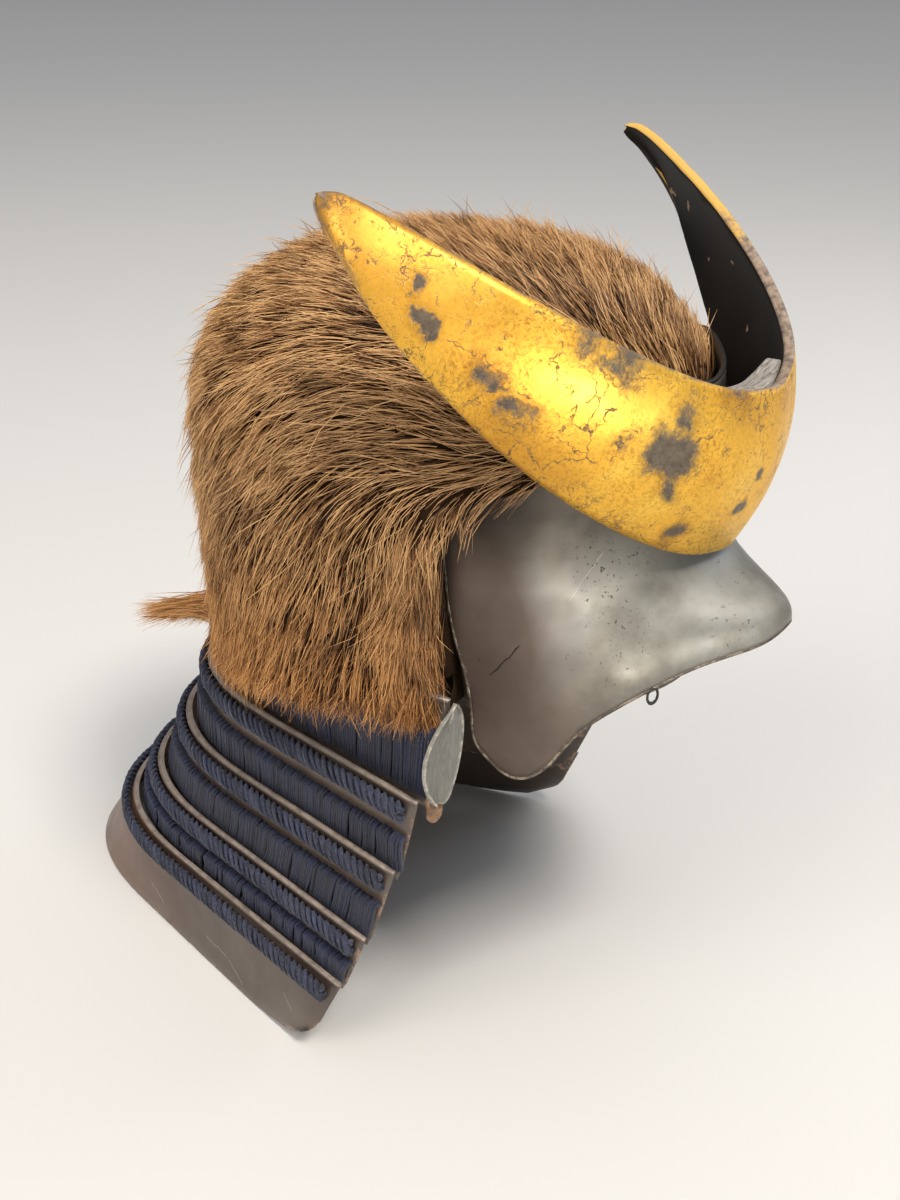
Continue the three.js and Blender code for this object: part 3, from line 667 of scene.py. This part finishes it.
def neck_line(tree, z, trim):
    """Points round the neck on a lame's outer face at one height, from the wearer's left to the right."""
    points = []
    for heading in np.linspace(-NECK_SWEEP, NECK_SWEEP, NECK_STEPS):
        way = Vector((math.sin(-heading), math.cos(heading), 0))
        start = Vector((NECK_AXIS.x, NECK_AXIS.y, z)) + way * NECK_REACH
        hit, normal, _, _ = tree.ray_cast(start, -way, NECK_REACH)
        if hit and normal.dot(way) > 0.2:
            points.append(hit)
    return resample(np.array(points), 3 * NECK_STEPS, trim)


def resample(line, count, trim=0.0):
    """The same line with evenly spaced points, shortened at both ends."""
    steps = np.linalg.norm(np.diff(line, axis=0), axis=1)
    along = np.concatenate([[0], np.cumsum(steps)])
    wanted = np.linspace(trim, along[-1] - trim, count)
    return np.stack([np.interp(wanted, along, line[:, axis]) for axis in range(3)], 1)


def unit(rows):
    return rows / np.linalg.norm(rows, axis=1)[:, None]


def line_length(line):
    return float(np.linalg.norm(np.diff(line, axis=0), axis=1).sum())


def tree_of(piece):
    mesh = bmesh.new()
    mesh.from_mesh(piece.data)
    made = BVHTree.FromBMesh(mesh)
    mesh.free()
    return made


def strand_tree():
    """Geometry nodes that give every strand of a bundle a round section."""
    tree = bpy.data.node_groups.new("strand_section", "GeometryNodeTree")
    for name, kind in (("Strands", "Geometry"), ("Sides", "Int"), ("Finish", "Material")):
        tree.interface.new_socket(name, in_out="INPUT", socket_type="NodeSocket" + kind)
    tree.interface.new_socket("Skin", in_out="OUTPUT", socket_type="NodeSocketGeometry")
    new = tree.nodes.new
    given = new("NodeGroupInput")
    result = new("NodeGroupOutput")
    curve = new("GeometryNodeMeshToCurve")
    section = new("GeometryNodeCurvePrimitiveCircle")
    section.inputs["Radius"].default_value = 1.0
    width = new("GeometryNodeInputNamedAttribute")
    width.inputs["Name"].default_value = "width"
    skin = new("GeometryNodeCurveToMesh")
    skin.inputs["Fill Caps"].default_value = True
    smooth = new("GeometryNodeSetShadeSmooth")
    real = new("GeometryNodeRealizeInstances")
    paint = new("GeometryNodeSetMaterial")
    join = tree.links.new
    join(given.outputs["Strands"], curve.inputs["Mesh"])
    join(given.outputs["Sides"], section.inputs["Resolution"])
    join(curve.outputs["Curve"], skin.inputs["Curve"])
    join(section.outputs["Curve"], skin.inputs["Profile Curve"])
    join(width.outputs["Attribute"], skin.inputs["Scale"])
    join(skin.outputs["Mesh"], smooth.inputs["Geometry"])
    join(smooth.outputs["Geometry"], real.inputs["Geometry"])
    join(real.outputs["Geometry"], paint.inputs["Geometry"])
    join(given.outputs["Finish"], paint.inputs["Material"])
    join(paint.outputs["Geometry"], result.inputs["Skin"])
    return tree


strand_section = strand_tree()


def strands(name, points, widths, sides, material, tints):
    """A bundle of strands as one mesh. Points is strand by step by place; widths go with them.
    Each strand keeps a tint from 0 to 1, and 'along' runs from 0 at its root to 1 at its tip."""
    count, steps, _ = points.shape
    index = np.arange(count * steps).reshape(count, steps)
    edges = np.stack([index[:, :-1].ravel(), index[:, 1:].ravel()], 1)
    data = bpy.data.meshes.new(name)
    data.from_pydata(points.reshape(-1, 3).tolist(), edges.tolist(), [])
    for key, value in (("width", widths), ("along", np.linspace(0, 1, steps)), ("tint", tints[:, None])):
        every = np.broadcast_to(value, (count, steps)).astype(np.float32)
        data.attributes.new(key, "FLOAT", "POINT").data.foreach_set("value", every.ravel())
    bundle = link(name + "_lines", data)
    modifier = bundle.modifiers.new("section", "NODES")
    modifier.node_group = strand_section
    sockets = {item.name: item.identifier for item in strand_section.interface.items_tree}
    modifier[sockets["Sides"]] = sides
    modifier[sockets["Finish"]] = material
    return link(name, baked(bundle, name))


def silk(name, dark, light, tip):
    """Twisted silk, with fine specks of fuzz and faded patches."""
    look = Look(name, roughness=0.75, sheen_weight=0.12, sheen_roughness=0.5)
    fuzz = look.noise(900, 3, 0.7)
    base = look.ramp(look.attribute("tint"), (0.0, dark), (1.0, light))
    speckled = look.blend(look.ramp(fuzz, (0.5, 0.0), (0.7, 0.7)), base, tip)
    fade = look.ramp(look.noise(18, 3), (0.35, 0.75), (0.7, 1.0))
    look.wire(look.times(speckled, fade), "Base Color")
    look.wire(look.bump(fuzz, 0.0004, 0.7), "Normal")
    return look.material


navy = silk("navy_silk", (0.0025, 0.004, 0.012), (0.012, 0.018, 0.062), (0.034, 0.050, 0.112))
CORD_SHAPE = [
    # share of the way down, how far it stands off the plate
    (0.05, -0.0004),
    (0.0, 0.0018),
    (0.06, 0.0033),
    (0.20, 0.0031),
    (0.6, 0.0017),
    (1.0, 0.0010),
]
HEAD_DROP = {1: 0.0, 2: 0.0048, 3: 0.0030, 4: 0.0010}


def lacing(k):
    low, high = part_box(f"lacing_{k}")
    tree = tree_of(lames[k])
    head = neck_line(tree, high[2] - HEAD_DROP[k], CORD_TRIM)
    foot = neck_line(tree, low[2], CORD_TRIM)
    count = int(line_length(head) / CORD_PITCH)
    head = resample(head, count)
    foot = resample(foot, count)
    middle = (head + foot) / 2
    ahead = np.gradient(middle, axis=0)
    down = foot - head
    out = np.cross(ahead, down)
    out *= np.sign((out * (head - np.array(NECK_AXIS)))[:, :2].sum(1))[:, None]
    out = unit(out)
    ahead = unit(ahead)
    bunch = np.cumsum(random.random(count) < BUNCH_CHANCE)
    lean = random.normal(0, BUNCH_LEAN, bunch.max() + 1)[bunch]
    lift = np.abs(random.normal(0, BUNCH_LIFT, bunch.max() + 1))[bunch]
    start = np.searchsorted(bunch, bunch)
    size = np.bincount(bunch)[bunch]
    within = (np.arange(count) - start + 0.5) / size - 0.5
    pinch = -within * np.minimum(size, BUNCH_LIMIT) * (LAST_PINCH if k == LAME_COUNT - 1 else PINCH)
    bounce = random.uniform(-BOUNCE, BOUNCE, count)
    fall = random.normal(0, FALL, count)
    points = []
    for share, stand in CORD_SHAPE:
        wobble = random.normal(0, WOBBLE, count)
        sideways = lean * share + pinch * math.sin(math.pi * max(share, 0.15)) + wobble
        height = stand + lift + BUNCH_SWELL * (0.25 - within ** 2) + bounce
        row = head + (foot - head) * share + out * height[:, None] + ahead * sideways[:, None]
        row[:, 2] += fall * (1 - share)
        points.append(row)
    points = np.stack(points, 1)
    tints = np.clip(random.normal(0.85 if k == LAME_COUNT - 1 else 0.45, 0.2, count), 0, 1)
    curtain = strands(f"lacing_cords_{k}", points, CORD_RADIUS, CORD_SIDES, navy, tints)
    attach(curtain, "root")
    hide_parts(f"lacing_{k}")


for k in range(1, LAME_COUNT):
    lacing(k)


# ---- silk braids ----
# A thick flat braid of faded blue silk runs along the head of each lower lame, just under its rim. Three
# plies of three yarns each turn round one another, so that slanting ribs show.

BRAID_PLIES = 3
YARNS_PER_PLY = 3
BRAID_PITCH = 0.0144
STEPS_PER_TURN = 8
YARN_SPREAD = 0.00105
YARN_RADIUS = 0.00118
YARN_SIDES = 4
YARN_TWIST = 0.4
BRAID_TRIM = 0.004
BRAID_INSET = 0.0019
BRAID_STAND = 0.0024
BRAID_SWING = 0.0015
faded_blue = silk("blue_braid", (0.009, 0.0125, 0.031), (0.032, 0.040, 0.086), (0.10, 0.115, 0.175))


def braid(k):
    low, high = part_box(f"braid_{k}")
    tree = tree_of(lames[k])
    middle_z = (low[2] + high[2]) / 2
    half = (high[2] - low[2]) / 2
    line = neck_line(tree, middle_z, BRAID_TRIM)
    turns = line_length(line) / BRAID_PITCH
    steps = int(turns * STEPS_PER_TURN)
    line = resample(line, steps)
    ahead = unit(np.gradient(line, axis=0))
    up = np.array([0.0, 0.0, 1.0])
    out = np.cross(up, ahead)
    out *= np.sign((out * (line - np.array(NECK_AXIS))).sum(1))[:, None]
    out = unit(out)
    angle = np.linspace(0, 2 * math.pi * turns, steps)
    yarns = []
    for ply in range(BRAID_PLIES):
        around = angle + 2 * math.pi * ply / BRAID_PLIES
        tall = (half - BRAID_INSET) * np.cos(around)
        deep = BRAID_STAND + BRAID_SWING * np.sin(around)
        for yarn in range(YARNS_PER_PLY):
            spin = YARN_TWIST * around + 2 * math.pi * yarn / YARNS_PER_PLY
            rise = tall + YARN_SPREAD * np.cos(spin)
            stand = deep + 0.7 * YARN_SPREAD * np.sin(spin)
            yarns.append(line + rise[:, None] * up + stand[:, None] * out)
    points = np.stack(yarns)
    tints = np.clip(random.normal(0.5, 0.3, len(yarns)), 0, 1)
    rope = strands(f"braid_rope_{k}", points, YARN_RADIUS, YARN_SIDES, faded_blue, tints)
    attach(rope, "root")
    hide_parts(f"braid_{k}")


for k in range(2, LAME_COUNT + 1):
    braid(k)


# ---- turned edge of the visor ----
# The edge of the visor is rolled over a thin wire, which stiffens it. The lacquer has worn off the roll in
# small chips.

ROLL_RADIUS = 0.0012
ROLL_STEPS = 420
ROLL_SIDES = 10


def visor_border():
    """The middle line of the visor's narrow edge, all the way round, rounded off as the plate itself is."""
    mesh = merged_copy("visor")
    mesh.normal_update()
    limit = math.radians(VISOR_SHARP_ANGLE)
    strip = {f for f in mesh.faces if sum(e.calc_face_angle() > limit for e in f.edges if e.is_manifold) >= 2}
    rungs = [e for e in mesh.edges if strip.issuperset(e.link_faces) and e.calc_face_angle() < limit]
    left = [(rung.verts[0].co + rung.verts[1].co) / 2 for rung in rungs]
    mesh.free()
    path = [left.pop(0)]
    while left:
        nearest = min(range(len(left)), key=lambda i: (left[i] - path[-1]).length)
        path.append(left.pop(nearest))
    path = np.array(path)
    for _ in range(2):
        before = np.roll(path, 1, axis=0)
        after = np.roll(path, -1, axis=0)
        path = np.stack([(before + 6 * path + after) / 8, (path + after) / 2], 1).reshape(-1, 3)
    return resample(np.concatenate([path, path[:1]]), ROLL_STEPS)


def worn_iron():
    look = Look("worn_iron", metallic=0.5, roughness=0.42)
    # Painted shadow: the rolled edge is darkened at the top of the visor, under the crescent.
    crescent_shadow = crescent_shadow_on(look)
    chips = look.ramp(look.noise(170, 5, 0.75), (0.46, 0.0), (0.6, 1.0))
    worn = look.blend(chips, (0.075, 0.055, 0.043), (0.30, 0.25, 0.19))
    look.wire(look.blend(crescent_shadow, worn, (0.03, 0.024, 0.02)), "Base Color")
    look.wire(look.bump(chips, 0.0003, 0.6), "Normal")
    return look.material


border = visor_border()[None]
roll = strands("visor_roll", border, ROLL_RADIUS, ROLL_SIDES, worn_iron(), np.full(1, 0.5))
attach(roll, "root")


# ---- ear plates ----
# A small leaf-shaped plate stands out at each front end of the first lame, silvered and dulled, with a
# raised rim. Under its tip shows a tongue of tan leather.


def silvered():
    look = Look("silvered_plate", metallic=0.35, roughness=0.45)
    brushed = look.add("Mapping", {"Vector": look.place, "Scale": (6.0, 6.0, 0.7)}).outputs["Vector"]
    streaks = look.noise(140, 5, 0.7, at=brushed)
    greys = (0.3, (0.15, 0.148, 0.132)), (0.55, (0.20, 0.20, 0.182)), (0.75, (0.26, 0.26, 0.24))
    color = look.ramp(streaks, *greys)
    rim = look.ramp(look.attribute("edge"), (0.02, 1.0), (0.06, 0.0))
    chips = look.ramp(look.noise(320, 4), (0.42, 0.25), (0.6, 1.0))
    color = look.blend(look.times(rim, chips), color, (0.55, 0.51, 0.43))
    look.wire(color, "Base Color")
    look.wire(look.bump(streaks, 0.0002, 0.5), "Normal")
    return look.material


def tan_leather():
    look = Look("tan_leather", roughness=0.75)
    tans = (0.3, (0.1, 0.055, 0.03)), (0.5, (0.25, 0.14, 0.075)), (0.7, (0.42, 0.27, 0.15))
    look.wire(look.ramp(look.noise(160, 5, 0.7), *tans), "Base Color")
    look.wire(look.bump(look.cells(look.place, 700.0), 0.0003, 0.6), "Normal")
    return look.material


LEAF_WIDENING = 0.18
LEAF_BULGE = 0.55
LEAF_SWING = math.radians(-24)
LEAF_TOP_ROUNDING = 0.2
LEAF_FOOT_ROUNDING = 0.1


def leaf_places(data, side):
    """The plate's corners, with its straight edge bulged, its ends rounded and the leaf swung forward."""
    places = np.array([v.co for v in data.vertices])
    hinge = places[np.abs(places[:, 0]).argmin()]
    middle = places.mean(0)
    long, wide, _ = np.linalg.svd(places - middle, full_matrices=False)[2]
    long = long * -np.sign(long[2])
    wide = wide * np.sign(wide[0] * middle[0])
    down = (places - middle) @ long
    down = (down - down.min()) / np.ptp(down)
    off = (places - middle) @ wide
    rows = np.linspace(0, 1, 13)
    near = [off[np.abs(down - row) < 0.06] for row in rows]
    left = np.interp(down, rows, [row.max() for row in near])
    right = np.interp(down, rows, [row.min() for row in near])
    share = (off - right) / (left - right) - 0.5
    breadth = np.interp(down, rows, [np.ptp(row) for row in near]) * (1 + LEAF_WIDENING)
    top = 1 - (1 - np.clip(down / LEAF_TOP_ROUNDING, 0, 1)) ** 2
    foot = 1 - (1 - np.clip((1 - down) / LEAF_FOOT_ROUNDING, 0, 1)) ** 2
    breadth *= np.sqrt(np.clip(top * foot, 0.02, 1))
    spine = (left + right) / 2
    spine = spine * (1 - LEAF_BULGE) + spine.max() * LEAF_BULGE
    places += wide * (spine + share * breadth - off)[:, None]
    turned = np.array(Matrix.Rotation(LEAF_SWING if side == "right" else -LEAF_SWING, 3, "Z"))
    return (places - hinge) @ turned.T + hinge


silver = silvered()
leather = tan_leather()
for side in ("right", "left"):
    plate = smooth_piece(f"ear_leaf_{side}", f"ear_plate_{side}", levels=2, crease=0.7)
    places = leaf_places(plate.data, side)
    plate.data.vertices.foreach_set("co", places.ravel())
    plate.data.materials.append(silver)
    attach(plate, "root")
    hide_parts(f"ear_plate_{side}")
    tongue = smooth_piece(f"ear_tongue_{side}", f"ear_tab_{side}", levels=2, crease=0.8)
    tongue.data.materials.append(leather)
    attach(tongue, "root")
    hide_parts(f"ear_tab_{side}")


# ---- boar hide ----
# A whole hide with its long coarse hair is stretched over the bowl. The hair lies back from the brow over
# the crown and turns down at the sides and the nape. The hide ends in a clipped hem, and a tuft trails.

HIDE = {"half_width": 0.113, "half_length": 0.134, "centre_y": -0.001, "crown_z": 0.019, "widest_z": -0.070}
SQUARENESS = 2.6
SLOPE_STEP = 1e-5
HIDE_DEPTH = 0.0015
ROOT_DEPTH = 0.005
HAIR_COUNT = 35800
FRINGE_COUNT = 2600
CLUMP_COUNT = 4200
HAIR_STEPS = 4
HAIR_LENGTH = 0.035
HAIR_LIFT = 0.0042
HAIR_WIDTH = 0.00022
HAIR_SIDES = 3
HEM_SLANT = 0.85
STRAY_SHARE = 0.03
CLUMP_PULL = 0.42
CURL = 0.0009
CLIPPED_CURL = 3.4
VISOR_MARGIN = (0, 0.006, 0)
VISOR_CUT = 0.4


def dome_level(p):
    """Below 0 inside the hide's dome, above 0 outside it."""
    across = np.hypot(p[:, 0] / HIDE["half_width"], (p[:, 1] - HIDE["centre_y"]) / HIDE["half_length"])
    lift = np.clip((p[:, 2] - HIDE["widest_z"]) / (HIDE["crown_z"] - HIDE["widest_z"]), 0, None)
    return across ** SQUARENESS + lift ** 2 - 1


def dome_slope(p):
    shifts = np.eye(3) * SLOPE_STEP
    rises = [dome_level(p + shift) - dome_level(p - shift) for shift in shifts]
    return np.stack(rises, 1) / (2 * SLOPE_STEP)


def to_dome(p, height):
    """The points moved onto the dome, then out from it by their heights, and the dome's normals there."""
    for _ in range(4):
        slope = dome_slope(p)
        p = p - slope * (dome_level(p) / (slope ** 2).sum(1))[:, None]
    normal = unit(dome_slope(p))
    return p + normal * height[:, None], normal


def smooth_step(value, low, high):
    t = np.clip((value - low) / (high - low), 0, 1)
    return t * t * (3 - 2 * t)


# How steeply the hair lies, in degrees below level, at depths under the crown: at the temple, by the ear
# and behind it. At the temple it runs back along the visor and then turns straight down.
DEPTHS = [-0.02, 0.0, 0.02, 0.04, 0.06, 0.075, 0.09, 0.11, 0.14, 0.19]
LEANS = {
    -0.055: [0, 0, 0, 8, 14, 62, 88, 92, 93, 94],
    -0.015: [8, 10, 14, 24, 34, 47, 62, 78, 76, 85],
    0.030: [12, 20, 34, 44, 53, 58, 62, 70, 80, 88],
}


def hair_flow(p, normal):
    """Which way the hair lies: back over the crown, then down at the sides and the nape."""
    stations = list(LEANS)
    leans = np.stack([np.interp(-p[:, 2], DEPTHS, LEANS[station]) for station in stations])
    place = np.interp(p[:, 1], stations, [0, 1, 2])
    lower = np.minimum(place.astype(int), 1)
    share = place - lower
    pick = np.arange(len(p))
    lean = leans[lower, pick] * (1 - share) + leans[lower + 1, pick] * share
    lean = np.radians(lean + 7 * np.sin(p[:, 2] * 75 + p[:, 1] * 40 + p[:, 0] * 30))
    crown = smooth_step(p[:, 2], -0.025, 0.012)
    sideways = np.clip(0.5 + 8 * p[:, 0], -0.3, 0.9) * crown
    flow = np.stack([sideways, np.cos(lean), -np.sin(lean)], 1)
    flow -= normal * (flow * normal).sum(1)[:, None]
    return unit(flow)


# The hem and the front edge of the hide, seen from the side, as (y, z).
HEM = np.array([(-0.066, -0.168), (0.0, -0.176), (0.06, -0.187), (0.17, -0.199)])
FRONT = np.array([
    (-0.142, -0.030), (-0.134, -0.040), (-0.112, -0.052), (-0.094, -0.062), (-0.076, -0.070),
    (-0.057, -0.078), (-0.055, -0.110), (-0.062, -0.175),
])


def above_hem(p):
    return p[:, 2] - np.interp(p[:, 1], HEM[:, 0], HEM[:, 1])


def before_front(p):
    """True in front of the hide's front edge: over the visor and the brow."""
    return p[:, 1] < np.interp(-p[:, 2], -FRONT[:, 1], FRONT[:, 0])


def roots(count):
    """Random places on the dome, evenly spread."""
    found = []
    total = 0
    while total < count:
        p = random.uniform((-0.13, -0.15, -0.21), (0.13, 0.15, 0.03), (count * 4, 3))
        level = np.abs(dome_level(p)) / np.linalg.norm(dome_slope(p), axis=1)
        p = p[level < 0.003]
        p, _ = to_dome(p, np.zeros(len(p)))
        p = p[(above_hem(p) > 0.001) & ~before_front(p)]
        found.append(p)
        total += len(p)
    return np.concatenate(found)[:count]


def fringe_roots(count):
    """Extra roots along the front edge by the visor, where the hair hangs straight down."""
    p = random.uniform((0.09, -0.058, -0.150), (0.12, -0.040, -0.076), (count, 3))
    p[:, 0] *= random.choice((-1, 1), count)
    p, _ = to_dome(p, np.zeros(count))
    return p


def grow(start, lengths, lifts, sway):
    """Strands that follow the hair's flow over the dome and rise toward their tips."""
    p = start
    rows = []
    for step in range(HAIR_STEPS):
        t = step / (HAIR_STEPS - 1)
        height = -ROOT_DEPTH * (1 - t) + lifts * t ** 0.8
        on, normal = to_dome(p, height)
        rows.append(on)
        flow = hair_flow(on, normal)
        side = np.cross(normal, flow)
        way = flow + side * (sway * (0.4 + t))[:, None]
        p = on + way * (lengths / (HAIR_STEPS - 1))[:, None]
    return np.stack(rows, 1)


def hair_material():
    look = Look("boar_hair", roughness=0.45, specular_ior_level=0.4)
    tone = look.math("MULTIPLY", look.attribute("tint"), 0.8)
    tone = look.math("ADD", tone, look.noise(24, 3, 0.6))
    tone = look.math("ADD", tone, look.rise(look.attribute("along"), 0.1, 1.0, -0.24, 0.2))
    color = look.ramp(
        tone,
        (0.30, (0.014, 0.006, 0.0025)),
        (0.50, (0.105, 0.043, 0.013)),
        (0.72, (0.34, 0.160, 0.052)),
        (0.98, (0.76, 0.46, 0.205)),
    )
    tawny = look.rise(look.axis("Z"), -0.10, -0.17)
    color = look.blend(tawny, color, look.times(color, (1.0, 0.86, 0.68)))
    look.wire(color, "Base Color")
    return look.material


def clumped(count, clump_count, length, lift):
    """Roots and strands that lie together in locks, with frizz, a few strays and a clipped hem."""
    start = np.concatenate([roots(count - FRINGE_COUNT), fringe_roots(FRINGE_COUNT)])
    centres = roots(clump_count)
    tree = search_tree(centres)
    nearest = np.array([tree.find(p)[1] for p in start])
    low = 1 - 0.65 * smooth_step(-centres[:, 2], 0.05, 0.17)
    clump_length = length * random.uniform(0.75, 1.2, clump_count) * (1.35 - 0.5 * low)
    clump_lift = lift * random.uniform(0.4, 1.35, clump_count) * low
    clump_sway = random.normal(0, 0.17, clump_count)
    centre_room = above_hem(centres) / HEM_SLANT + random.uniform(0.002, 0.007, clump_count)
    leaders = grow(centres, np.minimum(clump_length, centre_room), clump_lift, clump_sway)
    lengths = clump_length[nearest] * random.uniform(0.8, 1.15, count)
    lifts = clump_lift[nearest] + random.normal(0, 0.0013, count)
    sway = clump_sway[nearest] + random.normal(0, 0.19, count)
    strays = random.random(count) < STRAY_SHARE
    lifts[strays] += random.uniform(0.003, 0.011, strays.sum()) * low[nearest][strays]
    sway[strays] += random.normal(0, 0.45, strays.sum())
    room = above_hem(start) / HEM_SLANT + random.uniform(0.001, 0.009, count)
    clipped = room < lengths
    sway[clipped] += np.sign(start[clipped, 0]) * random.uniform(-0.1, 0.55, clipped.sum())
    lengths = np.minimum(lengths, room)
    tips = grow(start, lengths, lifts, sway)[:, -1]
    lengths[before_front(tips + VISOR_MARGIN)] *= VISOR_CUT
    hairs = grow(start, lengths, lifts, sway)
    pull = np.linspace(0, 1, HAIR_STEPS) ** 1.4 * CLUMP_PULL
    pull = np.where((strays | clipped)[:, None], pull * 0.15, pull)[:, :, None]
    scatter = random.normal(0, 0.001, (count, 1, 3))
    hairs = hairs * (1 - pull) + (leaders[nearest] + scatter) * pull
    curl = random.normal(0, 1, (count, 3)) * np.where(clipped, CLIPPED_CURL, 1)[:, None]
    wave = np.sin(np.linspace(0, 4, HAIR_STEPS)[None, :] + random.uniform(0, 6, (count, 1)))
    hairs += CURL * wave[:, :, None] * curl[:, None, :] * np.linspace(0, 1, HAIR_STEPS)[None, :, None]
    return start, hairs


TAPER = np.array([0.9, 1.0, 0.8, 0.15]) * HAIR_WIDTH
# Middle of a small dimple on the right side of the hide, where the coat parts.
DIMPLE_SHADE_SPOT = np.array([-0.112, -0.021, -0.117])
hair = hair_material()
start, hairs = clumped(HAIR_COUNT, CLUMP_COUNT, HAIR_LENGTH, HAIR_LIFT)
stout = random.random((HAIR_COUNT, 1)) ** 2
widths = TAPER[None, :] * (0.75 + 0.75 * stout)
tints = np.clip(random.normal(0.18, 0.22, HAIR_COUNT) + 0.45 * stout[:, 0], 0, 1)
# Painted shade: the hair is darkened round the dimple; the dimple itself is not shaped.
tints -= 0.9 * smooth_step(-np.linalg.norm(start - DIMPLE_SHADE_SPOT, axis=1), -0.007, -0.002)
low = start[:, 2] < -0.02
nape = low & (start[:, 1] >= 0.06)
right = start[:, 0] < 0
for part, band in (("crown", ~low), ("cheek", low & ~nape), ("nape", nape)):
    for side, half in (("right", right), ("left", ~right)):
        chosen = band & half
        coat = strands(f"hair_{part}_{side}", hairs[chosen], widths[chosen], HAIR_SIDES, hair, tints[chosen])
        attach(coat, "root")

# The tuft: the tail of the hide, left long, that trails behind the wearer's right shoulder.
TUFT_ROOT = np.array([-0.046, 0.108, -0.187])
TUFT_WAY = np.array([0.0, 0.95, -0.30])
TUFT_COUNT = 1400
TUFT_SHORTEST = 0.022
TUFT_REACH = 0.064
TUFT_SPREAD = (0.0048, 0.003, 0.0040)
TUFT_FAN = (0.0030, 0.0, 0.0042)
TUFT_ARCH = 0.004
reach = TUFT_SHORTEST + TUFT_REACH * random.random(TUFT_COUNT) ** 1.6
spread = random.normal(0, 1, (TUFT_COUNT, 3)) * TUFT_SPREAD
fan = random.normal(0, 1, (TUFT_COUNT, 3)) * TUFT_FAN
t = np.linspace(0, 1, HAIR_STEPS)[None, :, None]
tail = TUFT_ROOT + spread[:, None] * (1 - 0.9 * t) + fan[:, None] * t ** 2
tail = tail + TUFT_WAY * reach[:, None, None] * t
tail[:, :, 2] += TUFT_ARCH * np.sin(math.pi * t[:, :, 0])
tuft_widths = TAPER[None, :] * random.uniform(0.8, 1.3, (TUFT_COUNT, 1))
tuft_tints = np.clip(random.normal(0.75, 0.25, TUFT_COUNT), 0, 1)
tuft = strands("hair_tuft", tail, tuft_widths, HAIR_SIDES, hair, tuft_tints)
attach(tuft, "root")

# The hide itself under the hair: the CAD solid with its locks smoothed down and its tail thinned.


def dark_skin():
    look = Look("hide_skin", roughness=0.95, specular_ior_level=0.05)
    blotches = look.noise(80, 4)
    look.wire(look.ramp(blotches, (0.3, (0.012, 0.006, 0.003)), (0.7, (0.040, 0.021, 0.010))), "Base Color")
    return look.material


TAIL_Y = 0.100
TAIL_Z = -0.2
TAIL_RADIUS = 0.03
TAIL_THINNING = 0.65
undercoat = smooth_piece("hide_undercoat", "fur", levels=0)
places = np.array([v.co for v in undercoat.data.vertices])
off_axis = np.hypot(places[:, 0] - TUFT_ROOT[0], places[:, 2] - TAIL_Z)
in_tuft = (places[:, 1] > TAIL_Y) & (off_axis < TAIL_RADIUS) & (dome_level(places) > 0.05)
lowered, _ = to_dome(places, np.full(len(places), -HIDE_DEPTH))
high = (dome_level(places) > dome_level(lowered)) & ~in_tuft & (above_hem(places) > -0.02)
places[high] = lowered[high]
axis_point = TUFT_ROOT + TUFT_WAY * ((places - TUFT_ROOT) @ TUFT_WAY)[:, None]
places[in_tuft] = (places * (1 - TAIL_THINNING) + axis_point * TAIL_THINNING)[in_tuft]
hem = np.interp(places[:, 1], HEM[:, 0], HEM[:, 1]) + 0.002
places[~in_tuft, 2] = np.maximum(places, hem[:, None])[~in_tuft, 2]
undercoat.data.vertices.foreach_set("co", places.ravel())
undercoat.data.materials.append(dark_skin())
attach(undercoat, "root")
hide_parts("fur")
